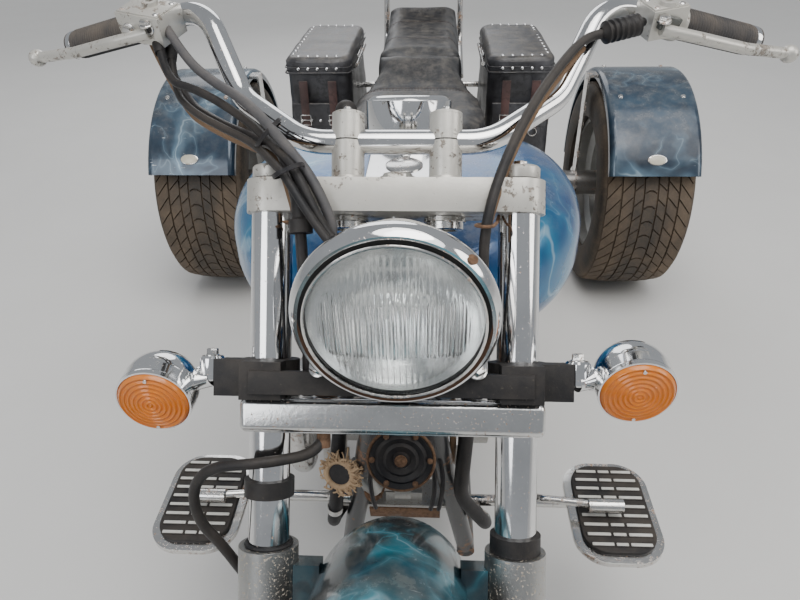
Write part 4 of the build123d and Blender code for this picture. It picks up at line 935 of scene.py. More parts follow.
def settle(
    mesh: bpy.types.Mesh, name: str, body: str, finish: Finish, *stands_for: str, smooth: float = 35
) -> bpy.types.Object:
    """Put a finished mesh in the scene as a piece.

    Args:
        mesh: the finished mesh.
        name: the piece's name.
        body: the CAD body that it rides on.
        finish: what it is made of.
        stands_for: the CAD nodes that it replaces.
        smooth: the angle in degrees under which faces blend.

    Returns:
        The new piece.
    """
    mesh.materials.clear()
    mesh.materials.append(finish.material())
    mesh.shade_smooth()
    piece = put(name, mesh)
    mesh.set_sharp_from_angle(angle=radians(smooth))
    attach(piece, body)
    if stands_for:
        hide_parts(*stands_for)
    LOG.info("%s: %d faces", name, len(mesh.polygons))
    return piece


def copy_of(nodes: Nodes, name: str) -> bmesh.types.BMesh:
    """Copy a CAD node's mesh with its loose triangles merged.

    Args:
        nodes: the CAD nodes by name.
        name: the node to copy.

    Returns:
        The copy.
    """
    copied = bmesh.new()
    copied.from_mesh(nodes[name].data)
    bmesh.ops.remove_doubles(copied, verts=copied.verts[:], dist=2e-5)
    return copied


@dataclass
class Studio:
    """The plain pale floor, soft lights and the photograph's camera."""

    spot: Point = (0.038, -1.1095, 1.18)
    pitch: float = 34.0
    yaw: float = 3.2
    roll: float = 1.1
    focal: float = 29.25
    shift: tuple[float, float] = (-0.002, 0.004)

    def floor(self) -> None:
        """Lay the floor."""
        ground = bmesh.new()
        bmesh.ops.create_grid(ground, x_segments=2, y_segments=2, size=14)
        laid = put("StudioFloor", meshed(ground, "StudioFloor"))
        s = Shader("FloorPaint")
        tone = s.mix(s.noise(3, 5, 0.6), (0.62, 0.61, 0.59), (0.68, 0.67, 0.65))
        s.set(Base_Color=tone, Roughness=0.75)
        laid.data.materials.append(s.material)

    def lights(self) -> None:
        """Hang the soft boxes and set the sky's glow."""
        world = bpy.data.worlds.new("Sky")
        world.use_nodes = True
        colour, strength = world.node_tree.nodes["Background"].inputs[:2]
        colour.default_value, strength.default_value = (0.86, 0.9, 0.95, 1), 0.42
        bpy.context.scene.world = world
        sun = bpy.data.lights.new("SoftSun", "SUN")
        sun.energy = 1.1
        sun.angle = radians(50)
        put("SoftSun", sun).matrix_world = pose((0.5, -1.0, 4.0), (0.3, -0.35, 1.0))
        for name, spot, size, power, tint in (
            ("OverheadBox", (0.3, -0.9, 3.6), 2.6, 62, (1.0, 0.98, 0.95)),
            ("FrontBox", (-2.2, -3.2, 2.6), 2.4, 50, (0.95, 0.97, 1.0)),
            ("SideBox", (3.2, -1.0, 2.2), 2.0, 34, (1.0, 0.97, 0.93)),
            ("BackBox", (-0.6, 3.6, 2.8), 2.8, 45, (0.97, 0.98, 1.0)),
        ):
            light = bpy.data.lights.new(name, "AREA")
            light.shape = "DISK"
            light.size = size
            light.energy = power
            light.color = tint
            put(name, light).matrix_world = pose(spot, Vector(spot) - Vector((0, 0, 0.6)))

    def camera(self) -> None:
        """Set the camera where the photograph was taken."""
        pitch, yaw, roll = (radians(a) for a in (self.pitch, self.yaw, self.roll))
        look = Vector((-sin(yaw) * cos(pitch), cos(yaw) * cos(pitch), -sin(pitch)))
        level = look.cross(UP).normalized()
        rise = level.cross(look)
        right = level * cos(roll) - rise * sin(roll)
        up = rise * cos(roll) + level * sin(roll)
        lens = bpy.data.cameras.new("PhotoCamera")
        lens.lens = self.focal
        lens.sensor_width = 36
        lens.shift_x, lens.shift_y = self.shift
        lens.clip_start = 0.02
        camera = put("PhotoCamera", lens)
        camera.matrix_world = Matrix.Translation(Vector(self.spot)) @ Matrix((right, up, -look)).transposed().to_4x4()
        bpy.context.scene.camera = camera

    def build(self) -> None:
        """Make all of it."""
        self.floor()
        self.lights()
        self.camera()


@dataclass
class Headlamp:
    """The round headlamp: fluted glass, reflector, bulb shield, near-black gasket that also paints the shade of its
    gap, rings, screw and mount bolts.
    """

    side: float = 0.007
    front: float = -0.6691
    high: float = 0.8601
    lens_r: float = 0.0768
    rim_r: float = 0.0895
    rise: float = 0.0132
    flute: float = 0.0031
    band: float = 0.03
    columns: int = 264
    rows: int = 44

    @property
    def axis(self) -> Matrix:
        """The lamp's own frame: Z points ahead, out of the glass."""
        return pose((self.side, self.front, self.high), (0, -1, 0), (1, 0, 0))

    def glass(self) -> None:
        """Mould the glass: a shallow dome with vertical flutes, banded like a sealed beam."""
        pane = bmesh.new()
        for inner in (False, True):
            bmesh.ops.create_grid(pane, x_segments=self.columns, y_segments=self.rows, size=1.0)
            for knot in pane.verts[-(self.columns + 1) * (self.rows + 1):]:
                x = max(-0.9995, min(0.9995, knot.co.x)) * self.lens_r
                y = knot.co.y * sqrt(self.lens_r**2 - x**2)
                out = min(1.0, hypot(x, y) / self.lens_r)
                dome = self.rise * (1 - out**2.2)
                if inner:
                    inside = max(0.0, min(1.0, (0.86 - out) / 0.03))
                    middle = abs(y) < self.band
                    wave = abs(sin(pi * x / (self.flute if middle else self.flute * 1.7)))
                    ledge = 0.0009 if abs(abs(y) - self.band) < 0.0018 else 0.0
                    dome -= 0.003 + inside * (wave * (0.0012 if middle else 0.0009) + ledge)
                knot.co = Vector((x, y, dome))
        bmesh.ops.bridge_loops(pane, edges=[e for e in pane.edges if e.is_boundary])
        form = Form().join(pane, self.axis)
        form.done("Headlamp_Glass", "steering", Finish.LAMP_GLASS, "headlamp_lens", smooth=60)

    def reflector(self) -> None:
        """Spin the silvered bowl and the bulb's shield."""
        bowl = [(self.lens_r - 0.001, -0.006)]
        bowl += [(self.lens_r * sqrt(1 - t), -0.008 - 0.056 * t) for t in (0.1 * k for k in range(1, 10))]
        bowl += [(0.019, -0.062), (0.0, -0.0625)]
        form = Form().lathe(bowl, self.axis, 64)
        form.lathe([(0, -0.02), (0.011, -0.021), (0.0145, -0.025), (0.015, -0.046), (0.013, -0.046), (0, -0.046)],
                   self.axis, 32)
        for turn in (0, 120, 240):
            arm = spun(radians(turn + 30)) @ moved(0.026, 0, -0.047)
            form.block((0.03, 0.003, 0.0015), self.axis @ arm, 0.0004)
        form.done("Headlamp_Reflector", "steering", Finish.SILVERED)

    def trim(self) -> None:
        """Add the near-black gasket, which also stands in as painted shade for the gap between glass and rim, its
        rusted lip, the retaining ring, the adjuster screw and the mount bolts.
        """
        # Near-black ring between glass and rim: a gasket that also serves as painted shade for the gap.
        gap = Form().lathe(
            [(self.lens_r + 0.0002, 0.001), (self.rim_r - 0.0062, 0.001), (self.rim_r - 0.0068, -0.008),
             (self.lens_r + 0.0002, -0.008), (self.lens_r + 0.0002, 0.001)],
            self.axis, 72,
        )
        gap.done("Headlamp_GasketAndGapShade", "steering", Finish.GAP)
        sunk = self.axis @ moved(0, -0.0006, 0.0006) @ spun(radians(-1.0), "X")
        lip = [(self.lens_r + 0.0018, 0.0), (self.rim_r - 0.0068, 0.0006), (self.rim_r - 0.007, -0.003),
               (self.lens_r + 0.0018, -0.003), (self.lens_r + 0.0018, 0.0)]
        Form().lathe(lip, sunk, 72).done("Headlamp_RustedLip", "steering", Finish.RUST_BROWN)
        ring = Form().ring(self.axis @ moved(0, 0, 0.0035), self.lens_r + 0.0005, 0.0014, 72, 8)
        ring.done("Headlamp_RetainingRing", "steering", Finish.OLD_CHROME)
        screws = Form()
        spin = spun(radians(45)) @ moved(self.rim_r - 0.002, 0, -0.003)
        screws.bolt(self.axis @ spin @ spun(radians(42), "Y"), 0.0072, 0.003, 14)
        screws.done("Headlamp_AdjusterScrew", "steering", Finish.RUSTY)
        mounts = Form()
        for sign in (-1, 1):
            spot = (self.side + sign * 0.073, self.front + 0.024, self.high - 0.0675)
            mounts.bolt(pose(spot, (sign * 0.2, -0.5, 1)), 0.015, 0.008)
        mounts.done("Headlamp_MountBolts", "steering", Finish.OLD_CHROME)

    def build(self) -> None:
        """Make all of it."""
        self.glass()
        self.reflector()
        self.trim()


@dataclass
class FrontIndicators:
    """Amber lenses moulded with rings, in chrome rims on lugged stalks."""

    reach: float = 0.236
    ahead: float = 0.014
    ups: tuple[float, float] = (0.501, 0.518)
    radius: float = 0.0362
    thick: float = 0.0135
    rings: int = 7

    def lens_profile(self) -> list[tuple[float, float]]:
        """Give the lens's outline, from the middle to the rim: ripples on a shallow dome.

        Returns:
            Pairs of radius and height.
        """
        points: list[tuple[float, float]] = []
        steps = self.rings * 8
        for k in range(steps + 1):
            out = k / steps
            ripple = 0.0008 * cos(tau * self.rings * out)
            points.append((self.radius * 0.9 * out, self.thick - 0.0012 - 0.0035 * out**2 + ripple))
        return points + [(self.radius * 0.97, self.thick * 0.5), (self.radius * 0.97, 0.0004), (0, 0.0004)]

    def build(self) -> None:
        """Make both sides."""
        lenses, rims, bolts = Form(), Form(), Form()
        for sign, up in zip((-1, 1), self.ups):
            spot = FORK.at(sign * self.reach, -self.ahead, up)
            axis = pose(spot, (0, -1, 0), (1, 0, 0))
            lenses.lathe(self.lens_profile(), axis, 48)
            rims.lathe([(0.0352, 0.0035), (0.036, 0.006), (0.0376, 0.0058), (0.0378, -0.004), (0.0352, -0.004),
                        (0.0352, 0.0035)], axis, 48)
            for turn in (90, 270):
                hole = spun(radians(turn)) @ moved(self.radius * 0.82, 0, 0.0095)
                bolts.lathe([(0, 0.0016), (0.0018, 0.0014), (0.0022, 0), (0, 0)], axis @ hole, 12)
            lug = FORK.at(sign * 0.182, -0.004, 0.529)
            rims.lathe([(0, -0.01), (0.0115, -0.01), (0.0125, -0.008), (0.0125, 0.012), (0.0105, 0.0145),
                        (0, 0.0145)], pose(lug, FORK.along), 28)
            bolts.bolt(pose(lug + FORK.along * 0.0145, FORK.along), 0.011, 0.006)
            rims.ring(pose(FORK.at(sign * 0.196, 0.0, 0.526 if sign > 0 else 0.52), (sign, 0.3, -0.2)), 0.0098,
                      0.0022, 24, 8)
        lenses.done("Indicator_Lenses", "steering", Finish.AMBER, "front_indicator_lenses", smooth=50)
        rims.done("Indicator_RimsAndLugs", "steering", Finish.CHROME)
        bolts.done("Indicator_Screws", "steering", Finish.OLD_CHROME)


@dataclass
class Tyre:
    """A road tyre: carcass, moulded walls and tread blocks cut by slanting grooves."""

    name: str
    node: str
    body: str
    finish: Finish
    centre: Point
    width: float
    radius: float
    bead: float
    tread: float
    columns: Sequence[float]
    pitches: int = 60
    slant: float = 0.5
    deep: float = 0.006
    gap: float = 0.0016
    crown: float = 0.012

    def surface(self, x: float) -> float:
        """Give the tread's radius at a distance from the middle, at the foot of its grooves."""
        return self.radius - self.deep - 0.0008 - self.crown * (abs(x) / (self.tread / 2)) ** 2.6

    def carcass(self, form: Form, axis: Matrix) -> None:
        """Spin the closed carcass under the blocks.

        Args:
            form: the form that takes it in.
            axis: the wheel's frame, Z along its axle.
        """
        half, wide = self.tread / 2, self.width / 2
        outer = [(self.surface(x), x) for x in (half * k / 8 for k in range(9))]
        drop = outer[-1][0]
        wall = drop - self.bead
        outer += [(drop - wall * a, half + (wide - half) * b) for a, b in (
            (0.05, 0.42), (0.14, 0.74), (0.28, 0.94), (0.42, 1.0), (0.46, 0.985), (0.49, 0.985), (0.52, 0.995),
            (0.66, 0.96), (0.8, 0.84), (0.88, 0.72), (0.93, 0.6), (1.0, 0.52))]
        inner = [(self.bead, 0.0)]
        line = outer + inner
        mirrored = [(r, -x) for r, x in reversed(line)]
        form.lathe(mirrored + line[1:], axis, 120)

    def blocks(self, form: Form, axis: Matrix) -> None:
        """Raise one pitch's blocks and turn them round the tyre.

        Args:
            form: the form that takes them in.
            axis: the wheel's frame, Z along its axle.
        """
        step = tau / self.pitches
        edges = [-self.tread / 2]
        for share in self.columns:
            edges.append(edges[-1] + share * self.tread)
        patch = bmesh.new()
        for column, (left, right) in enumerate(zip(edges, edges[1:])):
            shift = 0.31 * step * abs(column - (len(edges) - 2) / 2)
            for knot in bmesh.ops.create_cube(patch, size=1.0)["verts"]:
                top = knot.co.z > 0
                shrink = 0.95 if top else 1.02
                knot.co = Vector((
                    (left + right) / 2 + knot.co.x * (right - left - 2 * self.gap) * shrink,
                    shift + knot.co.y * (step - 2 * self.gap / self.radius) * shrink,
                    self.deep if top else -0.0015,
                ))
        broad = [e for e in patch.edges if abs(e.verts[0].co.x - e.verts[1].co.x) > 0.012]
        bmesh.ops.subdivide_edges(patch, edges=broad, cuts=2, use_grid_fill=True)
        for knot in patch.verts:
            x = knot.co.x
            turn = knot.co.y + self.slant * (abs(x) / self.tread) ** 1.3 * step * 4
            reach = self.surface(x) + knot.co.z
            knot.co = Vector((cos(turn) * reach, sin(turn) * reach, x))
        bmesh.ops.recalc_face_normals(patch, faces=patch.faces[:])
        bmesh.ops.spin(patch, geom=patch.verts[:] + patch.edges[:] + patch.faces[:], cent=(0, 0, 0), axis=(0, 0, 1),
                       angle=tau * (self.pitches - 1) / self.pitches, steps=self.pitches - 1, use_duplicate=True)
        form.join(patch, axis, clean=False)

    def build(self) -> None:
        """Make the tyre."""
        form = Form()
        axis = pose(self.centre, (1, 0, 0), (0, 1, 0))
        self.carcass(form, axis)
        self.blocks(form, axis)
        form.done(self.name, self.body, self.finish, self.node, smooth=32)


@dataclass
class Cables:
    """Hoses and cables of the steering: smooth lines steered by the routes' points in the fork's frame."""

    brake_hose: Sequence[Point] = (
        (-0.268, 0.074, 0.91), (-0.24, 0.062, 0.869), (-0.202, 0.038, 0.835), (-0.149, -0.004, 0.799),
        (-0.106, -0.028, 0.751), (-0.079, -0.038, 0.72), (-0.06, -0.037, 0.682), (-0.056, -0.034, 0.661),
        (-0.076, -0.026, 0.61), (-0.07, -0.008, 0.55), (-0.068, -0.004, 0.517),
    )
    throttle: Sequence[Point] = (
        (-0.282, 0.086, 0.908), (-0.262, 0.058, 0.842), (-0.215, 0.04, 0.826), (-0.152, 0.012, 0.784),
        (-0.12, -0.014, 0.752), (-0.091, -0.047, 0.723), (-0.073, -0.049, 0.685), (-0.058, -0.046, 0.66),
        (-0.032, -0.046, 0.63),
    )
    loom: Sequence[Point] = (
        (-0.27, 0.094, 0.908), (-0.26, 0.08, 0.84), (-0.228, 0.05, 0.806), (-0.183, 0.026, 0.78),
        (-0.147, 0.006, 0.761), (-0.115, -0.032, 0.731), (-0.101, -0.05, 0.717), (-0.08, -0.058, 0.685),
        (-0.062, -0.059, 0.66), (-0.035, -0.062, 0.628),
    )
    back_cable: Sequence[Point] = (
        (-0.292, 0.097, 0.908), (-0.252, 0.092, 0.83), (-0.205, 0.062, 0.798), (-0.15, 0.03, 0.77),
        (-0.114, -0.012, 0.751), (-0.099, -0.038, 0.722), (-0.089, -0.038, 0.687), (-0.086, -0.026, 0.62),
        (-0.084, -0.008, 0.56), (-0.084, -0.008, 0.5053),
    )
    clutch: Sequence[Point] = (
        (0.264, 0.07, 0.908), (0.25, 0.057, 0.899), (0.216, 0.048, 0.887), (0.194, 0.042, 0.879),
        (0.165, 0.026, 0.843), (0.131, 0.002, 0.79), (0.1, -0.034, 0.721), (0.086, -0.04, 0.668),
        (0.087, -0.028, 0.61), (0.084, -0.008, 0.56), (0.084, -0.008, 0.5053),
    )
    caliper: Sequence[Point] = (
        (-0.068, -0.006, 0.4707), (-0.068, -0.006, 0.449), (-0.12, -0.042, 0.445), (-0.171, -0.032, 0.439),
        (-0.192, -0.02, 0.421), (-0.199, -0.008, 0.397), (-0.194, 0.004, 0.37), (-0.18, 0.016, 0.349),
        (-0.158, 0.044, 0.301), (-0.12, 0.084, 0.221), (-0.08, 0.095, 0.172), (-0.08, 0.095, 0.1463),
    )

    def line(self, points: Sequence[Point]) -> list[Vector]:
        """Give a route's points in the scene."""
        return [FORK.at(*point) for point in points]

    def hoses(self) -> None:
        """Sweep each hose and cable in its own finish."""
        for name, route, radius, finish in (
            ("Cable_BrakeHose", self.brake_hose, 0.0052, Finish.SLEEVE),
            ("Cable_Throttle", self.throttle, 0.0046, Finish.RUBBER),
            ("Cable_SwitchLoom", self.loom, 0.0042, Finish.RUBBER),
            ("Cable_ThrottleReturn", self.back_cable, 0.0056, Finish.PLASTIC),
            ("Cable_Clutch", self.clutch, 0.005, Finish.RUBBER),
            ("Cable_CaliperHose", self.caliper, 0.0056, Finish.RUBBER),
        ):
            stands = ("steering_cables",) if name == "Cable_BrakeHose" else ()
            Form().tube(self.line(route), radius, 16, 10).done(name, "steering", finish, *stands, smooth=60)
        right = [(x - 0.003, y + 0.008, up - 0.007) for x, y, up in self.back_cable[:7]]
        left = [(x + 0.001, y + 0.009, up - 0.006) for x, y, up in self.clutch[3:8]]
        sleeved = Form().tube(self.line(right), 0.0048, 12, 8).tube(self.line(left), 0.0044, 12, 8)
        sleeved.done("Cable_SleevedLooms", "steering", Finish.LOOM, smooth=60)

    def fittings(self) -> None:
        """Add the boots, the ties, the junction block, the ferrules, the wire guide and the clip."""
        heel, toe = FORK.at(0.214, 0.0478, 0.8865), FORK.at(0.255, 0.0585, 0.9003)
        run = (toe - heel).length
        ribbed = [(0.0058, 0.0)]
        for k in range(6):
            at = run * (0.08 + 0.15 * k)
            ribbed += [(0.0092 + 0.0004 * k, at), (0.0118, at + run * 0.03), (0.0118, at + run * 0.075),
                       (0.0092 + 0.0004 * k, at + run * 0.105)]
        ribbed += [(0.0118, run * 0.985), (0.0105, run), (0.0058, run)]
        boots = Form().lathe(ribbed, pose(heel, toe - heel), 28)
        low, top = FORK.at(-0.0865, -0.0385, 0.663), FORK.at(-0.0893, -0.038, 0.712)
        span = (top - low).length
        boots.lathe([(0.006, 0), (0.0112, 0.0005), (0.0115, span * 0.26), (0.0085, span * 0.3), (0.0085, span * 0.94),
                     (0.0075, span), (0.006, span)], pose(low, top - low), 24)
        for spot, ahead in ((self.throttle[0], self.throttle[1]), (self.loom[0], self.loom[1])):
            start, end = FORK.at(*spot), FORK.at(*ahead)
            boots.lathe([(0.0042, 0.004), (0.0078, 0.004), (0.0074, 0.022), (0.0056, 0.034), (0.0042, 0.034)],
                        pose(start, end - start), 20)
        boots.done("Cable_Boots", "steering", Finish.RUBBER)
        ties = Form()
        for spot, way, big in (
            (FORK.at(-0.1275, -0.006, 0.767), FORK.way(-0.7, -0.25, 0.6), 0.0175),
            (FORK.at(-0.0985, -0.043, 0.722), FORK.way(-0.4, -0.15, 0.9), 0.015),
        ):
            ties.lathe([(big, -0.0022), (big + 0.0013, -0.002), (big + 0.0013, 0.002), (big, 0.0022), (big, -0.0022)],
                       pose(spot, way), 28)
        ties.done("Cable_Ties", "steering", Finish.PLASTIC)
        metal = Form()
        metal.block((0.022, 0.02, 0.018), FORK.frame(-0.066, -0.004, 0.5142), 0.002)
        for spot in ((-0.068, -0.0045, 0.526), (-0.068, -0.006, 0.462), (-0.08, 0.095, 0.153)):
            metal.lathe([(0.0052, -0.008), (0.0068, -0.008), (0.0072, -0.003), (0.0068, 0.008), (0.0052, 0.008),
                         (0.0052, -0.008)], FORK.frame(*spot), 18)
        guide = FORK.at(0.0868, -0.0395, 0.672)
        metal.ring(pose(guide, FORK.way(0, -0.25, 1)), 0.0085, 0.0016, 28, 8)
        metal.tube([guide + FORK.way(0.0085, 0, 0), guide + FORK.way(0.012, 0.012, 0.004),
                    guide + FORK.way(0.014, 0.026, 0.006), guide + FORK.way(0.016, 0.03, 0.0135)], 0.0018, 8, 6)
        clip = FORK.at(-0.0885, -0.0385, 0.6745)
        metal.block((0.04, 0.0165, 0.0022), pose(clip + FORK.way(0.004, 0.006, 0), FORK.along), 0.0006)
        metal.done("Cable_ClipsAndFerrules", "steering", Finish.RUSTY)

    def build(self) -> None:
        """Make all of it."""
        self.hoses()
        self.fittings()


@dataclass
class Footboards:
    """Pale worn ribs on the footboards' rubber pads."""

    middle: Point = (0.324, -0.4305, 0.342)
    half_x: float = 0.05
    half_y: float = 0.078
    ribs: int = 9

    def build(self) -> None:
        """Make the ribs and their feet on both boards."""
        pale, dark = Form(), Form()
        for sign in (-1, 1):
            for k in range(self.ribs):
                along = -self.half_y + 2 * self.half_y * (k + 0.5) / self.ribs
                half = self.half_x * (1 - 0.35 * max(0.0, abs(along) / self.half_y - 0.55))
                spot = Vector((sign * self.middle[0], self.middle[1] + along, self.middle[2]))
                for low, high in ((-1.0, -0.28), (-0.2, 0.2), (0.28, 1.0)):
                    shift = Vector((half * (low + high) / 2, 0, 0.0008))
                    pale.block((half * (high - low), 0.005, 0.0026), pose(spot + shift), 0.001)
                    dark.block((half * (high - low) + 0.003, 0.0085, 0.0012), pose(spot + shift - UP * 0.0005), 0.0004)
        pale.done("Footboard_Ribs", "frame", Finish.PALE)
        dark.done("Footboard_RibFeet", "frame", Finish.RUBBER)


@dataclass
class Pad:
    """A padded piece, blown up from the form of a CAD node and then seamed and stitched."""

    name: str
    node: str
    finish: Finish
    voxel: float = 0.008
    pressure: float = 4.0
    cap: float = 0.01
    shrink: float = 0.005
    fill: float = 0.8
    seams: Sequence[tuple[Point, Point]] = ()
    seam_deep: float = 0.0035
    seam_wide: float = 0.006
    stitch_step: float = 0.0075
    stitch_off: float = 0.0052
    stitched: bool = True

    def remeshed(self, nodes: Nodes) -> bpy.types.Mesh:
        """Give the CAD form as an even mesh, drawn in a little so that it has room to swell.

        Args:
            nodes: the CAD nodes by name.

        Returns:
            The even mesh.
        """
        form = copy_of(nodes, self.node)
        for knot in form.verts:
            knot.co -= knot.normal * self.shrink
        rough = meshed(form, "rough")
        holder = put("rough", rough)
        even = holder.modifiers.new("Even", "REMESH")
        even.mode = "VOXEL"
        even.voxel_size = self.voxel
        found = holder.evaluated_get(bpy.context.evaluated_depsgraph_get())
        mesh = bpy.data.meshes.new_from_object(found)
        bpy.data.objects.remove(holder)
        bpy.data.meshes.remove(rough)
        return mesh

    def swell(self, mesh: bpy.types.Mesh) -> None:
        """Blow the mesh up as cloth and keep the result, each point held to the cap.

        Args:
            mesh: the mesh to change.
        """
        rest = [v.co.copy() for v in mesh.vertices]
        holder = put("swelling", mesh.copy())
        cloth = holder.modifiers.new("Cloth", "CLOTH").settings
        cloth.use_pressure = True
        cloth.uniform_pressure_force = self.pressure
        cloth.effector_weights.gravity = 0
        cloth.quality = 4
        cloth.tension_stiffness = 12
        cloth.compression_stiffness = 12
        cloth.bending_stiffness = 1.5
        for frame in range(1, 21):
            bpy.context.scene.frame_set(frame)
        found = holder.evaluated_get(bpy.context.evaluated_depsgraph_get()).to_mesh()
        swollen = [v.co.copy() for v in found.vertices]
        bpy.context.scene.frame_set(1)
        bpy.data.objects.remove(holder)
        for v, old, new in zip(mesh.vertices, rest, swollen):
            step = new - old
            if step.length > self.cap:
                step *= self.cap / step.length
            v.co = old + step

    def smoothed(self, mesh: bpy.types.Mesh) -> bmesh.types.BMesh:
        """Relax the voxel steps.

        Args:
            mesh: the swollen mesh.

        Returns:
            The relaxed form.
        """
        form = bmesh.new()
        form.from_mesh(mesh)
        for _ in range(5):
            bmesh.ops.smooth_vert(form, verts=form.verts[:], factor=0.5, use_axis_x=True, use_axis_y=True,
                                  use_axis_z=True)
        form.normal_update()
        return form

    def sew(self, form: bmesh.types.BMesh) -> None:
        """Press the seams in; each is a plane's cut, given by a point and the plane's normal.

        Args:
            form: the form to change.
        """
        for spot, way in self.seams:
            normal = Vector(way).normalized()
            for knot in form.verts:
                away = abs((knot.co - Vector(spot)).dot(normal))
                if away < self.seam_wide * 3 and knot.normal.z > -0.2:
                    knot.co -= knot.normal * self.seam_deep * exp(-((away / self.seam_wide) ** 2))

    def stitch(self, tree: BVHTree, low: Vector, high: Vector) -> None:
        """Lay a row of thread dashes on each side of each seam.

        Args:
            tree: the pad's surface.
            low: the low corner of its box.
            high: the high corner of its box.
        """
        thread = Form()
        made = 0
        for spot, way in self.seams:
            normal = Vector(way).normalized()
            run = normal.cross(UP).normalized()
            for side in (-1, 1):
                for k in range(-26, 27):
                    foot = Vector(spot) + run * (k * self.stitch_step) + normal * (side * self.stitch_off)
                    hit, facing, _, _ = tree.ray_cast(Vector((foot.x, foot.y, high.z + 0.05)), -UP)
                    if hit is None or facing.z < 0.25 or hit.z < low.z:
                        continue
                    thread.block((0.0042, 0.001, 0.0009), pose(hit + facing * 0.0002, facing, run), 0.0003)
                    made += 1
        if made:
            thread.done(self.name + "_Stitches", "frame", Finish.STRAP)

    def build(self, nodes: Nodes) -> None:
        """Make the pad.

        Args:
            nodes: the CAD nodes by name.
        """
        mesh = self.remeshed(nodes)
        self.swell(mesh)
        form = self.smoothed(mesh)
        self.sew(form)
        form.normal_update()
        if self.stitched and self.seams:
            low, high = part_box(self.node)
            self.stitch(BVHTree.FromBMesh(form), low, high)
        form.to_mesh(mesh)
        form.free()
        piece = settle(mesh, self.name, "frame", self.finish, self.node, smooth=80)
        finer = piece.modifiers.new("Finer", "SUBSURF")
        finer.levels = finer.render_levels = 1


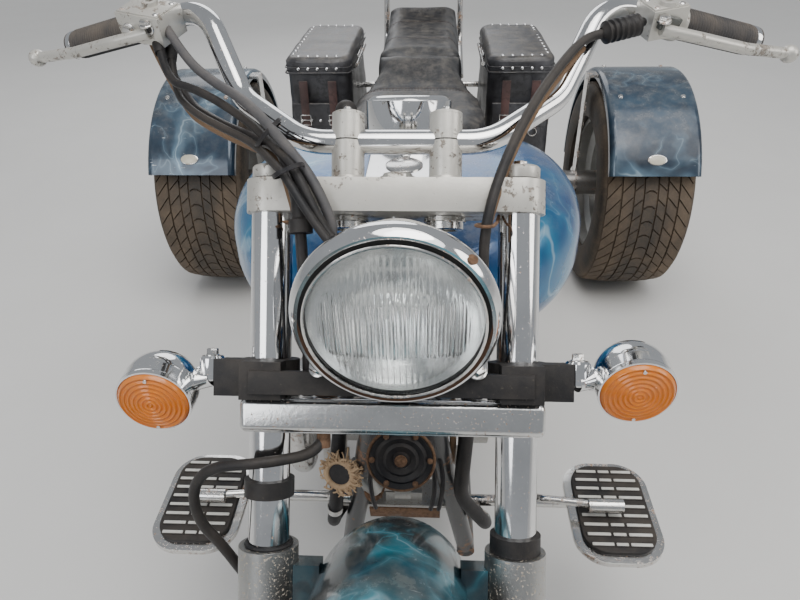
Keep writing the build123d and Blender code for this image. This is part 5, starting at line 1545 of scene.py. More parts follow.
@dataclass
class Saddlebag:
    """A sagging studded leather saddlebag with its hinged lid, pocket, straps and rings."""

    sign: int
    side: str
    middle: float = 0.25
    width: float = 0.164
    length: float = 0.4
    front: float = 0.5245
    low: float = 0.425
    high: float = 0.33
    lid_high: float = 0.04
    corner: float = 0.036
    wall: float = 0.0045
    stud_step: float = 0.032
    strap_x: float = 0.036
    strap_y: float = 0.08
    buckle_half: float = 0.0125

    @property
    def centre(self) -> Vector:
        """The bag's middle at its bottom."""
        return Vector((self.sign * self.middle, self.front + self.length / 2, self.low))

    @property
    def top(self) -> float:
        """The height of the bag's mouth."""
        return self.low + self.high

    @property
    def lid_body(self) -> str:
        """The body that the lid rides on."""
        return f"bag_lid_{self.side.lower()}"

    def walled(self, piece: bmesh.types.BMesh, middle: Vector) -> Form:
        """Turn an open shell's faces outward and give it its thickness.

        Args:
            piece: the shell, which is freed.
            middle: a point inside it.

        Returns:
            The shell as a form.
        """
        bmesh.ops.recalc_face_normals(piece, faces=piece.faces[:])
        if sum((f.normal.dot(f.calc_center_median() - middle) for f in piece.faces), 0.0) < 0:
            bmesh.ops.reverse_faces(piece, faces=piece.faces[:])
        bmesh.ops.solidify(piece, geom=piece.faces[:], thickness=self.wall)
        return Form().join(piece, None, clean=False)

    def trough(self, size: Point, corner: float, foot: float, floor_up: bool) -> bmesh.types.BMesh:
        """Round a block's corners and open it at one end: a tray, or upside down a lid.

        Args:
            size: the block's length along X, Y and Z.
            corner: the round of its upright edges.
            foot: the round of its closed end.
            floor_up: whether the closed end is on top.

        Returns:
            The open shell.
        """
        piece = bmesh.new()
        bmesh.ops.create_cube(piece, size=1.0)
        bmesh.ops.scale(piece, vec=size, verts=piece.verts[:])
        upright = [e for e in piece.edges if abs(e.verts[0].co.z - e.verts[1].co.z) > 1e-4]
        rounded(piece, upright, corner, 6)
        shut = 1 if floor_up else -1
        rim = [e for e in piece.edges if all(v.co.z * shut > size[2] / 2 - 1e-5 for v in e.verts)]
        rounded(piece, rim, foot, 5)
        bare = [f for f in piece.faces if f.normal.z * shut < -0.99]
        bmesh.ops.delete(piece, geom=bare, context="FACES")
        for _ in range(4):
            long = [e for e in piece.edges if e.calc_length() > 0.016]
            if long:
                bmesh.ops.subdivide_edges(piece, edges=long, cuts=1, use_grid_fill=True)
        bmesh.ops.triangulate(piece, faces=[f for f in piece.faces if len(f.verts) > 4])
        return piece

    def body(self) -> None:
        """Shape the bag: full at the foot, drawn in under the lid, creased all over."""
        piece = self.trough((self.width - 0.004, self.length - 0.006, self.high), self.corner, 0.03, False)
        bmesh.ops.translate(piece, vec=self.centre + UP * (self.high / 2), verts=piece.verts[:])
        piece.normal_update()
        for knot in piece.verts:
            up = (knot.co.z - self.low) / self.high
            out = Vector((knot.co.x - self.centre.x, knot.co.y - self.centre.y, 0)).normalized()
            belly = 0.0085 * sin(pi * min(1, max(0, up * 1.25))) if up < 0.8 else 0.0
            if out.x * self.sign < -0.5:
                belly *= 0.2
            crease = noise.noise(knot.co * 13) * 0.0045 + noise.noise(knot.co * 41) * 0.0016
            slack = noise.noise(Vector((knot.co.x * 7, knot.co.y * 7, knot.co.z * 30))) * 0.003
            room = min(1.0, max(0.0, (1 - up) * 9))
            knot.co += out * (belly + (crease + slack) * room - 0.0015)
        form = self.walled(piece, self.centre + UP * 0.1)
        made = form.done(f"Saddlebag_{self.side}", "frame", Finish.BAG_LEATHER, f"saddlebag_{self.side.lower()}",
                         smooth=60)

    def lid(self) -> None:
        """Shape the lid: a crowned cap with a skirt that overhangs the bag's mouth."""
        piece = self.trough((self.width, self.length - 0.001, self.lid_high), self.corner + 0.002, 0.014, True)
        top = self.top + 0.0005
        bmesh.ops.translate(piece, vec=Vector((self.centre.x, self.centre.y, top + self.lid_high / 2)),
                            verts=piece.verts[:])
        for knot in piece.verts:
            across = (knot.co.x - self.centre.x) / (self.width / 2)
            along = (knot.co.y - self.centre.y) / (self.length / 2)
            if knot.co.z > top + self.lid_high * 0.7:
                crown = (1 - min(1, across**2)) * (1 - min(1, along**2))
                knot.co.z += 0.007 * crown - 0.003 + noise.noise(knot.co * 16) * 0.003
            else:
                knot.co.xy += Vector((across, along)) * noise.noise(knot.co * 22) * 0.002
        form = self.walled(piece, Vector((self.centre.x, self.centre.y, top)))
        for edge, big in ((-0.0005, 0.0022), (0.0125, 0.0013)):
            form.tube(self.loop(top + 0.002 + edge, -0.0005), big, 8, 8)
        made = form.done(f"SaddlebagLid_{self.side}", self.lid_body, Finish.BAG_LEATHER,
                         f"saddlebag_lid_{self.side.lower()}", smooth=60)

    def loop(self, high: float, grow: float) -> list[Vector]:
        """Give the control points of a rounded line round the bag.

        Args:
            high: the line's height.
            grow: how far it stands off the bag.

        Returns:
            The points, closed.
        """
        half_x, half_y = self.width / 2 + grow, self.length / 2 + grow
        cut = self.corner * 0.9
        corners = []
        for x, y in ((1, 1), (-1, 1), (-1, -1), (1, -1)):
            first, second = (x * half_x, y * (half_y - cut)), (x * (half_x - cut), y * half_y)
            pair = (first, (x * half_x, y * half_y), second) if x * y > 0 else (second, (x * half_x, y * half_y), first)
            corners += [Vector((self.centre.x + a, self.centre.y + b, high)) for a, b in pair]
        return corners + [corners[0], corners[1]]

    def studs(self) -> None:
        """Press the domed studs into the lid's skirt and top and the pocket's flap."""
        dome = ((0, 0.0032), (0.0022, 0.0029), (0.0038, 0.0018), (0.0044, 0.0002), (0.0044, -0.0006), (0, -0.0006))
        on_lid, on_bag = Form(), Form()
        top = self.top
        outer = self.centre.x + self.sign * self.width / 2
        for k in range(11):
            y = self.front + self.corner + 0.006 + k * self.stud_step
            on_lid.lathe(dome, pose((outer + self.sign * 0.0004, y, top + 0.012), (self.sign, 0, 0)), 14)
            on_lid.lathe(dome, pose((outer - self.sign * 0.018, y, top + self.lid_high - 0.0022), (0, 0, 1)), 14)
        for k in range(5):
            x = self.centre.x + (k - 2) * 0.0235
            for y, way in ((self.front + 0.0002, (0, -1, 0)), (self.front + self.length - 0.0002, (0, 1, 0))):
                on_lid.lathe(dome, pose((x, y, top + 0.012), way), 14)
            on_lid.lathe(dome, pose((x, self.front + 0.017, top + self.lid_high - 0.0022), (0, 0, 1)), 14)
            on_lid.lathe(dome, pose((x, self.front + self.length - 0.017, top + self.lid_high - 0.0022), (0, 0, 1)), 14)
            on_bag.lathe(dome, pose((x, self.front - 0.0128, top - 0.112), (0, -1, 0.15)), 14)
        on_lid.done(f"SaddlebagLidStuds_{self.side}", self.lid_body, Finish.CHROME)
        on_bag.done(f"SaddlebagStuds_{self.side}", "frame", Finish.CHROME)

    def pocket(self) -> None:
        """Add the front pocket, its flap and the straps with their buckles and rings."""
        face = self.front
        top = self.top
        leather, metal, straps = Form(), Form(), Form()
        for size, spot, edge in (
            ((self.width * 0.8, 0.018, 0.15), (self.centre.x, face - 0.0035, top - 0.17), 0.0085),
            ((self.width * 0.84, 0.007, 0.06), (self.centre.x, face - 0.0105, top - 0.098), 0.003),
        ):
            leather.block(size, pose(spot), edge, 4)
        side = self.centre.x + self.sign * (self.width / 2 + 0.0075)
        leather.block((0.014, 0.2, 0.15), pose((side - self.sign * 0.005, self.centre.y, top - 0.165)), 0.0065, 4)
        leather.done(f"SaddlebagPocket_{self.side}", "frame", Finish.BAG_LEATHER)
        for x, y, way, drop in (
            (self.centre.x - self.strap_x, face - 0.0128, (0, -1, 0), 0.12),
            (self.centre.x + self.strap_x, face - 0.0128, (0, -1, 0), 0.12),
            (side + self.sign * 0.0035, self.centre.y - self.strap_y, (self.sign, 0, 0), 0.17),
            (side + self.sign * 0.0035, self.centre.y + self.strap_y, (self.sign, 0, 0), 0.17),
        ):
            place = pose((x, y, top - drop / 2 - 0.014), way, (0, 0, 1))
            straps.block((drop, 0.021, 0.0026), place, 0.0008)
            buckle = place @ moved(-drop * 0.3, 0, 0.002)
            for shift in (-self.buckle_half, self.buckle_half):
                metal.block((0.026, 0.0026, 0.0026), buckle @ moved(0, shift, 0), 0.0009)
            for shift in (-self.buckle_half, 0, self.buckle_half):
                metal.block((0.0024, 0.026, 0.0024), buckle @ moved(shift, 0, 0.0006), 0.0009)
            metal.ring(place @ moved(-drop * 0.5 - 0.006, 0, 0.002), 0.0105, 0.0017, 24, 8)
        straps.done(f"SaddlebagStraps_{self.side}", "frame", Finish.STRAP)
        metal.done(f"SaddlebagBuckles_{self.side}", "frame", Finish.OLD_CHROME)

    def hinge(self) -> None:
        """Make the hinge's knuckles and leaves on its inner side."""
        spot_x = self.sign * (self.middle - self.width / 2 - 0.006)
        high = self.top + 0.0003
        for body, name, spans in (
            ("frame", "SaddlebagHinge", ((-0.084, 0.05), (0.084, 0.05))),
            (self.lid_body, "SaddlebagLidHinge", ((0.0, 0.11),)),
        ):
            form = Form()
            up = 1 if body != "frame" else -1
            for middle, long in spans:
                spot = Vector((spot_x, self.centre.y + middle - long / 2, high))
                form.lathe([(0.0026, 0), (0.0048, 0), (0.0048, long), (0.0026, long), (0.0026, 0)],
                           pose(spot, (0, 1, 0)), 20)
                leaf = Vector((spot_x + self.sign * 0.0042, self.centre.y + middle, high + up * 0.0065))
                form.block((0.003, long * 0.96, 0.008), pose(leaf), 0.0008)
                lap = leaf + Vector((self.sign * 0.001, 0, up * 0.003))
                form.block((0.0062, long * 0.96, 0.002), pose(lap), 0.0006)
            if body == "frame":
                pin = Vector((spot_x, self.centre.y - 0.11, high))
                form.lathe([(0, 0), (0.0023, 0), (0.0023, 0.22), (0, 0.22)], pose(pin, (0, 1, 0)), 16)
            form.done(f"{name}_{self.side}", body, Finish.OLD_CHROME)

    def build(self) -> None:
        """Make the whole bag."""
        self.body()
        self.lid()
        self.studs()
        self.pocket()
        self.hinge()


@dataclass
class Bars:
    """Fittings of the handlebar, risers and yokes: bolts, caps, housings, switches and lever pivots."""

    riser_x: float = 0.0505
    riser_r: float = 0.017
    bar_back: float = 0.022
    bar_up: float = 0.765
    bar_end: Point = (0.433, 0.195, 0.938)
    inboard: Point = (-0.8829, -0.4692, -0.0171)
    bore: float = 0.0168

    def on_grip(self, sign: int, distance: float, out: bool = False) -> Matrix:
        """Give the frame on the grip's line, Z pointing inboard, or outboard.

        Args:
            sign: 1 for the vehicle's left, -1 for its right.
            distance: how far inboard of the bar's end.
            out: whether Z points outboard.

        Returns:
            The frame.
        """
        along = Vector(self.inboard)
        spot = Vector(self.bar_end) + along * distance
        way = FORK.way(sign * along.x, along.y, along.z)
        return pose(FORK.at(sign * spot.x, spot.y, spot.z), -way if out else way, FORK.along)

    def risers(self) -> None:
        """Seam and bolt the riser caps, round their feet and sink the bushes under the yoke."""
        alloy, bolts, rubber = Form(), Form(), Form()
        top = self.bar_up + 0.029
        for sign in (-1, 1):
            def at(up: float, behind: float = 0.0, x: float = sign * self.riser_x) -> Matrix:
                """Give a frame up the riser."""
                return FORK.frame(x, self.bar_back + behind, up)
            alloy.lathe([(self.bore, -0.0005), (self.riser_r + 0.0012, 0), (self.riser_r + 0.0012, 0.006),
                         (self.bore, 0.0085)], at(0.7202), 40)
            alloy.lathe([(0, 0.0028), (0.011, 0.0026), (0.015, 0.0012), (self.riser_r + 0.0002, -0.0022),
                         (0.016, -0.0022), (0, -0.001)], at(top), 40)
            rubber.lathe([(self.bore, -0.0006), (self.riser_r + 0.0002, -0.0006), (self.riser_r + 0.0002, 0.0006),
                          (self.bore, 0.0006)], at(self.bar_up + 0.0002), 40)
            for behind in (-0.0085, 0.0085):
                bolts.socket_bolt(at(top + 0.0016, behind), 0.0078, 0.0026)
            bolts.lathe([(0.0122, 0), (0.0216, -0.0004), (0.022, -0.005), (0.0198, -0.0056), (0.0198, -0.0124),
                         (0.0122, -0.013)], at(0.6868), 36)
        alloy.done("Riser_FeetAndCaps", "steering", Finish.CAST_ALLOY)
        bolts.done("Riser_Bolts", "steering", Finish.OLD_CHROME)
        rubber.done("Riser_Seams", "steering", Finish.RUBBER)

    def yokes(self) -> None:
        """Cap the fork tubes and the stem nut, and add the seals and the lower yoke's bright front plate."""
        bolts, caps, dark = Form(), Form(), Form()
        for sign in (-1, 1):
            tube = FORK.at(sign * LEG_X, 0, 0.7345)
            caps.lathe([(0.0195, -0.0135), (0.0203, -0.012), (0.0203, -0.002), (0.0185, 0.0), (0.0125, 0.0),
                        (0.0115, 0.0006), (0, 0.0006)], pose(tube, FORK.along), 36)
            bolts.bolt(pose(tube + FORK.along * 0.0006, FORK.along), 0.014, 0.004)
            dark.ring(FORK.frame(sign * LEG_X, 0, 0.7205), 0.0212, 0.0011, 36, 8)
            dark.ring(FORK.frame(sign * LEG_X, 0, 0.3555), 0.0222, 0.0022, 36, 8)
        nut = FORK.at(0, 0.045, 0.734)
        caps.lathe([(0.0165, 0), (0.0155, 0.0022), (0.01, 0.0032), (0.009, 0.001), (0, 0.001)],
                   pose(nut, FORK.along), 36)
        bolts.done("Yoke_Bolts", "steering", Finish.OLD_CHROME)
        caps.done("Yoke_Caps", "steering", Finish.CAST_ALLOY)
        crown = Form().block((0.2965, 0.015, 0.0335), FORK.frame(0, -0.0215, 0.488), 0.0074, 8)
        crown.done("LowerYoke_FrontPlate", "steering", Finish.BUFFED)
        dark.done("Yoke_Seals", "steering", Finish.RUBBER)

    def housings(self) -> None:
        """Dress the perches: switch boxes, reservoir lid, sight glass, covers, screws and pivots."""
        alloy, dark, bolts, pale, chrome = Form(), Form(), Form(), Form(), Form()
        for sign in (-1, 1):
            ring = self.on_grip(sign, 0.1235)
            alloy.lathe([(0.0178, -0.0005), (0.0208, 0.0), (0.0212, 0.002), (0.0212, 0.0035), (0.0178, 0.0035)],
                        ring, 36)
            for k in range(26):
                groove = self.on_grip(sign, 0.006 + k * 0.0044)
                dark.ring(groove, 0.0171, 0.0013, 32, 6)
            end = self.on_grip(sign, -0.0004, out=True)
            chrome.lathe([(0.0176, -0.001), (0.018, 0.0), (0.018, 0.0065), (0.016, 0.0092), (0.0072, 0.0098),
                          (0.0062, 0.0086), (0, 0.0086)], end, 36)
            pivot = FORK.at(sign * 0.283, 0.066, 0.8985)
            up = Vector((0, -0.2425, 0.9701))
            bolts.bolt(pose(pivot + up * 0.0092, up), 0.0125, 0.0045)
            block = FORK.at(sign * 0.287, 0.082, 0.918)
            along = FORK.way(sign * self.inboard[0], self.inboard[1], self.inboard[2]).normalized()
            across = up.cross(along).normalized()
            long, wide = (0.046, 0.034) if sign > 0 else (0.06, 0.044)
            place = pose(block + up * 0.0155, up, along)
            for a in (-1, 1):
                for b in (-1, 1):
                    corner = place @ moved(a * (long / 2 - 0.0075), b * (wide / 2 - 0.007), 0.002)
                    bolts.lathe([(0, 0.0012), (0.0022, 0.0012), (0.0034, 0.0002), (0.0036, -0.001), (0, -0.001)],
                                corner, 16)
            plate = [(-long / 2 + 0.002, -wide / 2 + 0.002), (long / 2 - 0.002, -wide / 2 + 0.002),
                     (long / 2 - 0.002, wide / 2 - 0.002), (-long / 2 + 0.002, wide / 2 - 0.002)]
            alloy.plate(plate, 0.0022, place, 0.0008)
            face = block - across * (wide / 2) if across.y > 0 else block + across * (wide / 2)
            front = pose(face, -across if across.y > 0 else across, along)
            if sign < 0:
                chrome.ring(front @ moved(0.014, 0, 0.0004), 0.0068, 0.0013, 24, 8)
                dark.lathe([(0, 0.0006), (0.0062, 0.0006), (0.0062, -0.0005), (0, -0.0005)],
                           front @ moved(0.014, 0, 0.0004), 24)
                bolts.bolt(front @ moved(-0.014, 0.002, 0.0002), 0.0135, 0.006)
            else:
                pale.block((0.026, 0.016, 0.007), front @ moved(0.002, -0.001, 0.002), 0.0018, 3)
            for shift, big in ((-0.01, 0.0045), (0.008, 0.0036)):
                switch = self.on_grip(sign, 0.15) @ moved(0.0195, shift, 0.01)
                dark.block((0.006, 0.007, 0.012), switch, big * 0.4)
        alloy.done("Controls_Housings", "steering", Finish.CAST_ALLOY)
        dark.done("Controls_GripRibsAndSwitches", "steering", Finish.GRIP_RUBBER)
        bolts.done("Controls_BoltsAndPivots", "steering", Finish.OLD_CHROME)
        pale.done("Controls_ClutchSwitchCover", "steering", Finish.SMOKED)
        chrome.done("Controls_BarEnds", "steering", Finish.CHROME)

    def build(self) -> None:
        """Make all of it."""
        self.risers()
        self.yokes()
        self.housings()


@dataclass
class Bodywork:
    """Badges, bolts, bezel, dial, filler cap and knob on the fenders, tank, console and lever."""

    fender_r: float = 0.351
    badge: tuple[float, float] = (0.023, 0.0125)
    knob_up: float = 0.806
    knob_x: float = -0.123
    knob_back: float = 0.977

    def over(self, x: float, turn: float, lift: float) -> Matrix:
        """Give a frame on a rear fender's outside, so many degrees up from the front."""
        out = Vector((0, -cos(radians(turn)), sin(radians(turn))))
        return pose(Vector((x, *REAR_AXLE[1:])) + out * (self.fender_r + lift), out)

    def console(self) -> None:
        """Add the blind instrument with its bezel, the filler cap and the console's screws."""
        face = Vector((0, back(0.765), 0.842))
        way = Vector((0, 0.3, 1)).normalized()
        top = pose(face + way * 0.046, way)
        chrome, glass, dial, bolts = Form(), Form(), Form(), Form()
        chrome.lathe([(0.047, 0.0001), (0.0475, 0.0042), (0.051, 0.0062), (0.0555, 0.005), (0.06, 0.0012),
                      (0.0632, -0.004), (0.047, -0.004)], top, 64)
        glass.lathe([(0, 0.0042), (0.03, 0.0038), (0.0468, 0.0026), (0.0468, 0.0014), (0.03, 0.0026), (0, 0.003)],
                    top, 48)
        dial.lathe([(0, 0.0006), (0.046, 0.0006), (0.046, -0.0002), (0, -0.0002)], top, 48)
        for k in range(21):
            turn = spun(radians(-140 + k * 14))
            mark = turn @ moved(0, 0.0395 if k % 2 else 0.038, 0.001)
            bolts.block((0.001, 0.004 if k % 2 else 0.007, 0.0005), top @ mark, 0.0001)
        bolts.block((0.0016, 0.03, 0.0008), top @ spun(2.2) @ moved(0, 0.012, 0.0016), 0.0002)
        chrome.done("Console_Bezel", "frame", Finish.CHROME)
        glass.done("Console_Glass", "frame", Finish.LAMP_GLASS)
        dial.done("Console_Dial", "frame", Finish.PLASTIC)
        bolts.done("Console_DialMarks", "frame", Finish.PALE)
        trim = Form()
        for y in (back(0.56), back(0.64)):
            trim.bolt(pose((0, y, 0.8542)), 0.012, 0.004, 20)
        trim.lathe([(0, 0.004), (0.02, 0.0035), (0.0245, 0.001), (0.0245, -0.001), (0, -0.001)],
                   pose((0, back(0.6), 0.8545)), 40)
        trim.done("Console_CapAndScrews", "frame", Finish.OLD_CHROME)

    def knob(self) -> None:
        """Top the reverse lever with its black ball."""
        spot = (self.knob_x, back(self.knob_back), self.knob_up)
        form = Form().ball(pose(spot), 0.0204, 36)
        form.lathe([(0.005, -0.03), (0.009, -0.028), (0.01, -0.018), (0.005, -0.016)],
                   pose(spot, (0, -0.1, 1)), 24)
        form.done("ReverseLever_Knob", "frame", Finish.RUBBER)

    def fenders(self) -> None:
        """Set the rear fenders' blank oval badges and their bolts."""
        badges, rims, bolts = Form(), Form(), Form()
        long, high = self.badge
        oval = [(long * cos(tau * k / 32), high * sin(tau * k / 32)) for k in range(32)]
        for sign in (-1, 1):
            place = self.over(sign * REAR_WHEEL_X, 33, 0.0002)
            rims.plate([(a * 1.1, b * 1.16) for a, b in oval], 0.0022, place, 0.0008)
            badges.plate(oval, 0.003, place, 0.0008)
            for turn in (65, 105):
                for across in (-0.085, 0.085):
                    bolts.bolt(self.over(sign * REAR_WHEEL_X + across, turn, 0.0001), 0.01, 0.003, 24)
        badges.done("Fender_Badges", "frame", Finish.BADGE)
        rims.done("Fender_BadgeRims", "frame", Finish.OLD_CHROME)
        bolts.done("Fender_Bolts", "frame", Finish.OLD_CHROME)

    def tank(self) -> None:
        """Set the tank's mounting bolts."""
        bolts = Form()
        for sign in (-1, 1):
            bolts.bolt(pose((sign * 0.046, back(0.452), 0.7745), (sign * 0.2, -0.9, 0.5)), 0.012, 0.005)
        bolts.done("Tank_Bolts", "frame", Finish.OLD_CHROME)

    def build(self) -> None:
        """Make all of it."""
        self.console()
        self.knob()
        self.fenders()
        self.tank()


def back(distance: float) -> float:
    """Give the Y of a station measured back from the front axle."""
    return FORK.axle[1] + distance


@dataclass
class EngineBay:
    """Fittings round the engine: horn, torn air duct, looms, bolts, covers, pushrod tubes and springs."""

    horn: Point = (0.0, -0.5155, 0.53)
    horn_way: Point = (0.0, -0.9, 0.35)
    duct_mouth: Point = (-0.098, -0.445, 0.418)
    tube_end: Point = (-0.05, -0.425, 0.367)
    bolt_circle: float = 0.088

    def horn_face(self) -> None:
        """Press the horn's rings and fit its rusty rim and centre nut."""
        axis = pose(self.horn, self.horn_way)
        dark = Form().lathe([(0, 0.005), (0.01, 0.0048), (0.012, 0.0015), (0.02, 0.004), (0.024, 0.0012),
                             (0.031, 0.004), (0.035, 0.0012), (0.0415, 0.0036), (0.043, 0.0), (0, 0.0)], axis, 48)
        dark.done("Horn_Face", "frame", Finish.PLASTIC)
        rim = Form().ring(axis @ moved(0, 0, 0.0005), 0.0442, 0.0022, 56, 8)
        rim.bolt(axis @ moved(0, 0, 0.005), 0.013, 0.004)
        for k in range(6):
            rim.bolt(axis @ spun(k * tau / 6) @ moved(0.0385, 0, 0.003),
                     0.006, 0.002)
        rim.done("Horn_Rim", "frame", Finish.RUSTY)

    def duct(self) -> None:
        """Fray the torn duct beside the horn, fill its mouth with a black disc of painted shade, cap its silver tube
        with a rusty flange and add the rusty guard.
        """
        rng = random.Random(11)
        mouth = pose(self.duct_mouth, (-0.25, -0.9, 0.35))
        fibre = Form().ring(mouth, 0.0215, 0.005, 40, 10)
        for _ in range(96):
            angle = rng.gauss(0.6, 1.3)
            turn = spun(angle)
            reach = rng.uniform(0.004, 0.014) + 0.014 * rng.random() * max(0.0, cos(angle - 0.8))
            lean = rng.uniform(-0.014, 0.014)
            start = mouth @ turn @ Vector((rng.uniform(0.017, 0.024), 0, 0.003))
            bend = Vector((0.023 + reach * 0.5, lean * rng.uniform(-0.6, 0.9), rng.uniform(0.003, 0.011)))
            middle = mouth @ turn @ bend
            tip = mouth @ turn @ Vector((0.021 + reach, lean, rng.uniform(-0.004, 0.012)))
            fibre.tube([start, middle, tip], rng.uniform(0.0006, 0.0019), 6, 4)
        fibre.done("Duct_TornEdge", "frame", Finish.FIBRE)
        hose = Form().tube([mouth @ Vector((0.012, 0, -0.026)), mouth @ Vector((0.032, 0.002, -0.02)),
                            Vector(self.tube_end)], 0.0165, 20, 6)
        hose.done("Duct_SilverTube", "frame", Finish.DULL_ALLOY)
        guard = Form().block((0.118, 0.003, 0.034), pose((-0.003, -0.4, 0.276), (0, -0.25, 1)), 0.001)
        guard.done("Engine_RustyGuard", "frame", Finish.RUSTY)
        # A black disc in the duct's mouth: painted shade for the dark inside of the hole.
        dark = Form().lathe([(0, -0.004), (0.019, -0.002), (0.019, 0.001), (0, -0.001)], mouth, 32)
        dark.done("Duct_HoleShade", "frame", Finish.PLASTIC)
        flange = Form()
        way = Vector((0.75, -0.55, 0.35))
        face = pose((-0.048, -0.425, 0.367), way)
        flange.lathe([(0, 0.003), (0.02, 0.003), (0.0215, 0.0), (0, 0.0)], face, 32)
        flange.ring(face, 0.0205, 0.0022, 40, 8)
        for k in range(4):
            spin = spun(tau * k / 4 + 0.4) @ moved(0.015, 0, 0.003)
            flange.bolt(face @ spin, 0.007, 0.004)
        flange.done("Duct_Flange", "frame", Finish.RUSTY)

    def looms(self) -> None:
        """Run the thin wires, clamps and taped looms beside the down tubes."""
        dark, tan, metal = Form(), Form(), Form()
        for sign, spread in ((1, 0.0), (1, 0.012), (-1, 0.004)):
            x = sign * (0.04 + spread)
            dark.tube([Vector((x, back(0.446), 0.36)), Vector((x + sign * 0.01, back(0.44), 0.42)),
                       Vector((x - sign * 0.006, back(0.452), 0.5)), Vector((x + sign * 0.008, back(0.478), 0.58)),
                       Vector((x - sign * 0.01, back(0.505), 0.65))], 0.0034, 8, 8)
        tan.tube([Vector((-0.052, back(0.47), 0.56)), Vector((-0.06, back(0.462), 0.5)),
                  Vector((-0.05, back(0.47), 0.44)), Vector((-0.062, back(0.482), 0.392))], 0.006, 10, 8)
        tan.tube([Vector((0.07, back(0.5), 0.6)), Vector((0.066, back(0.48), 0.54)),
                  Vector((0.074, back(0.468), 0.47)), Vector((0.066, back(0.47), 0.4))], 0.005, 10, 8)
        for spot, way in (
            ((0.1285, back(0.505), 0.2665), (0.05, -0.8, 0.55)),
            ((-0.112, back(0.468), 0.33), (0.1, -0.1, 1)),
        ):
            metal.lathe([(0.0112, -0.006), (0.0126, -0.006), (0.0126, 0.006), (0.0112, 0.006), (0.0112, -0.006)],
                        pose(spot, way), 28)
        dark.done("Wires_Thin", "frame", Finish.PLASTIC)
        tan.done("Wires_Taped", "frame", Finish.LOOM)
        metal.done("Hose_Clamps", "frame", Finish.OLD_CHROME)

    def engine(self) -> None:
        """Bolt the engine's case and heads, add the round covers and run the pushrod tubes."""
        bolts, chrome, dark = Form(), Form(), Form()
        for spot in round_x(ENGINE_MIDDLE, self.bolt_circle, 10):
            for sign in (-1, 1):
                bolts.bolt(pose((sign * ENGINE_SIDE_X, spot.y, spot.z), (sign, 0, 0)), 0.011, 0.005)
        for sign in (-1, 1):
            chrome.lathe([(0, 0.0105), (0.05, 0.0085), (0.078, 0.004), (0.082, -0.001), (0, -0.001)],
                         pose((sign * ENGINE_SIDE_X, *ENGINE_MIDDLE[1:]), (sign, 0, 0)), 64)
        for lean in (-23, 23):
            up = Vector((0, sin(radians(lean)), cos(radians(lean))))
            base = Vector(ENGINE_MIDDLE)
            for across in (-0.034, 0.034):
                for ahead in (-0.034, 0.034):
                    side = up.cross(Vector((1, 0, 0)))
                    top = base + up * 0.3005 + Vector((across, 0, 0)) + side * ahead
                    bolts.bolt(pose(top, up), 0.013, 0.006)
            for shift in (-0.014, 0.014):
                foot = base + Vector((0.0885, shift + up.y * 0.1, 0.125))
                dark.tube([foot, foot + up * 0.08, foot + up * 0.158], 0.0068, 12, 2)
        bolts.done("Engine_Bolts", "frame", Finish.OLD_CHROME)
        chrome.done("Engine_RoundCovers", "frame", Finish.OLD_CHROME)
        dark.done("Engine_PushrodTubes", "frame", Finish.CHROME)

    def springs(self) -> None:
        """Wind the shock absorbers' springs."""
        coil = Form()
        for sign in (-1, 1):
            foot, head = Vector((sign * 0.1145, 0.829, 0.385)), Vector((sign * 0.1088, 0.678, 0.585))
            run = head - foot
            side = run.cross(Vector((1, 0, 0))).normalized()
            other = run.cross(side).normalized()
            turns = 9
            points = []
            for k in range(turns * 8 + 1):
                turn = tau * k / 8
                out = side * cos(turn) + other * sin(turn)
                points.append(foot + run * (k / (turns * 8)) + out * 0.0255)
            coil.tube(points, 0.0042, 8, 3)
        coil.done("Shock_Springs", "frame", Finish.CHROME)

    def build(self) -> None:
        """Make all of it."""
        self.horn_face()
        self.duct()
        self.looms()
        self.engine()
        self.springs()


@dataclass
class Running:
    """Fittings of the wheels: nuts, caps, bolts and rim beads."""

    nut_circle: float = 0.044
    disc_circle: float = 0.052
    rear_bead: float = 0.2025
    front_bead: float = 0.2065

    def build(self) -> None:
        """Make the nuts, caps, bolts and beads of each wheel."""
        for sign, side in SIDES:
            nuts = Form()
            lo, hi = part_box(f"rear_wheel_{side.lower()}")
            face, inner = (hi.x, lo.x) if sign > 0 else (lo.x, hi.x)
            x, y, z = sign * REAR_WHEEL_X, *REAR_AXLE[1:]
            hub = (x + sign * 0.0452, y, z)
            for spot in round_x(hub, self.nut_circle, 5):
                nuts.bolt(pose(spot, (sign, 0, 0)), 0.019, 0.014)
            nuts.lathe([(0, 0.016), (0.016, 0.014), (0.022, 0.006), (0.024, 0), (0, 0)], pose(hub, (sign, 0, 0)), 36)
            for edge in (face, inner):
                seat = edge - (0.004 if edge > x else -0.004)
                nuts.ring(pose((seat, y, z), (1, 0, 0)), self.rear_bead, 0.0028, 96, 8)
            nuts.done(f"RearWheel{side}_NutsAndBeads", f"rear_wheel_{side.lower()}_body", Finish.OLD_CHROME)
        front = Form()
        for spot in round_x((-0.0745, *FRONT_AXLE[1:]), self.disc_circle, 6):
            front.bolt(pose(spot, (-1, 0, 0)), 0.011, 0.003)
        for edge in (-0.046, 0.046):
            front.ring(pose((edge, *FRONT_AXLE[1:]), (1, 0, 0)), self.front_bead, 0.0024, 96, 8)
        front.done("FrontWheel_BoltsAndBeads", "front_wheel_body", Finish.OLD_CHROME)


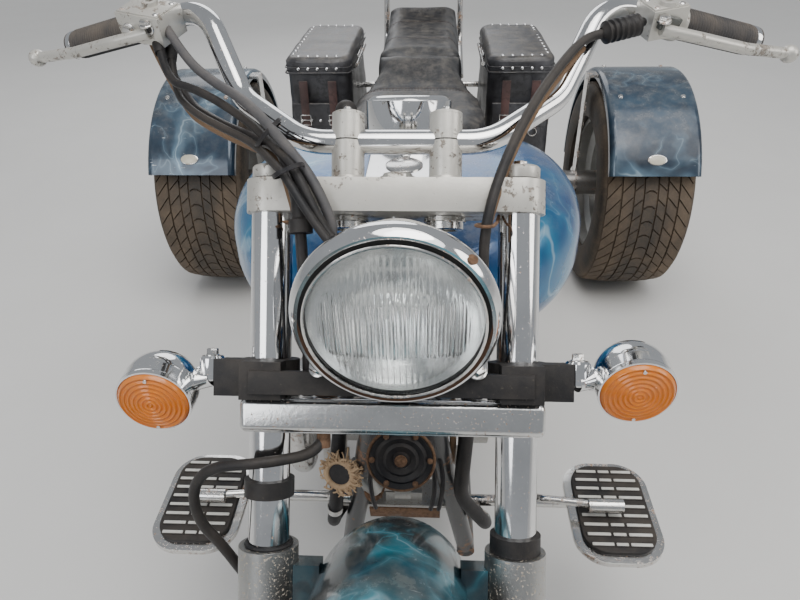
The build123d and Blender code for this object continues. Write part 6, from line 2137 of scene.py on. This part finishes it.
@dataclass(frozen=True)
class Softened:
    """A CAD node whose sharp edges are rounded on a merged copy."""

    node: str
    finish: Finish
    edge: float
    rows: int = 3
    sharp: float = 32.0

    def build(self, nodes: Nodes) -> None:
        """Make the copy, round it and let it stand for the node.

        Args:
            nodes: the CAD nodes by name.
        """
        form = copy_of(nodes, self.node)
        bmesh.ops.dissolve_limit(form, angle_limit=radians(1.0), verts=form.verts[:], edges=form.edges[:],
                                 use_dissolve_boundaries=False)
        edges = [e for e in form.edges if len(e.link_faces) == 2 and e.calc_face_angle(0.0) > radians(self.sharp)]
        rounded(form, edges, self.edge, self.rows, clamp=True)
        bmesh.ops.triangulate(form, faces=[f for f in form.faces if len(f.verts) > 4])
        label = "".join(word.capitalize() for word in self.node.split("_"))
        settle(meshed(form, self.node), f"{label}_Rounded", nodes[self.node]["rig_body"], self.finish, self.node)


SOFTENED = (
    Softened("upper_yoke", Finish.CAST_ALLOY, 0.0024),
    Softened("lower_yoke", Finish.CHROME, 0.0035, 4),
    Softened("lamp_brackets", Finish.RUBBER, 0.003),
    Softened("hand_controls", Finish.CAST_ALLOY, 0.0022),
    Softened("front_caliper", Finish.DULL_ALLOY, 0.0025),
    Softened("engine_case", Finish.ENGINE_ALLOY, 0.004),
    Softened("side_covers", Finish.FENDER_PAINT, 0.004),
    Softened("tank_console", Finish.CHROME, 0.004, 4),
    Softened("footboards", Finish.OLD_CHROME, 0.0016),
    Softened("footboard_pads", Finish.RUBBER, 0.0016),
    Softened("tail_lamp", Finish.OLD_CHROME, 0.002),
    Softened("plate_bracket", Finish.OLD_CHROME, 0.0008, 2),
)


REAR_COLUMNS = (0.17, 0.14, 0.11, 0.16, 0.11, 0.14, 0.17)
TYRES = (
    Tyre("Tyre_Front", "front_tyre", "front_wheel_body", Finish.FRONT_TYRE, FRONT_AXLE, 0.129, 0.3195,
         0.21, 0.104, (0.22, 0.18, 0.2, 0.18, 0.22), 48, 1.0, 0.005, 0.0013, 0.03),
    *(Tyre(f"Tyre_Rear{side}", f"rear_tyre_{side.lower()}", f"rear_wheel_{side.lower()}_body", Finish.REAR_TYRE,
           (sign * REAR_WHEEL_X, *REAR_AXLE[1:]), 0.264, 0.3195, 0.207, 0.236, REAR_COLUMNS, 46, 1.7, 0.006, 0.0016,
           0.011)
      for sign, side in SIDES),
)

PADS = (
    Pad("RiderSaddle", "rider_seat", Finish.SEAT_VINYL, cap=0.011,
        seams=(((0, 0.455, 0.74), (0, 1, 0.12)), ((0, 0.215, 0.74), (0, 1, -0.1)))),
    Pad("PillionPad", "pillion_seat", Finish.SEAT_VINYL, cap=0.01,
        seams=(((0, 0.72, 0.8), (0, 1, 0)), ((0, 0.9, 0.8), (0, 1, 0)))),
    Pad("Backrest", "backrest", Finish.TORN_VINYL, cap=0.009, voxel=0.007, stitched=False,
        seams=(((0, 1.12, 1.01), (0, 0, 1)),)),
)


def dress_kept(nodes: Nodes) -> None:
    """Give each CAD node its finish.

    Args:
        nodes: the CAD nodes by name.
    """
    for finish, names in KEPT_NODES.items():
        for name in names:
            for place in nodes[name].material_slots:
                place.material = finish.material()


def main() -> None:
    """Build the scene."""
    logging.basicConfig(level=logging.INFO, format="%(name)s %(message)s")
    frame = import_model()
    nodes = frame["nodes"]
    Studio().build()
    dress_kept(nodes)
    Headlamp().build()
    FrontIndicators().build()
    Cables().build()
    Footboards().build()
    for tyre in TYRES:
        tyre.build()
    for softened in SOFTENED:
        softened.build(nodes)
    for pad in PADS:
        pad.build(nodes)
    for sign, side in SIDES:
        Saddlebag(sign, side).build()
    Bars().build()
    Bodywork().build()
    EngineBay().build()
    Running().build()


if __name__ == "__main__":
    main()
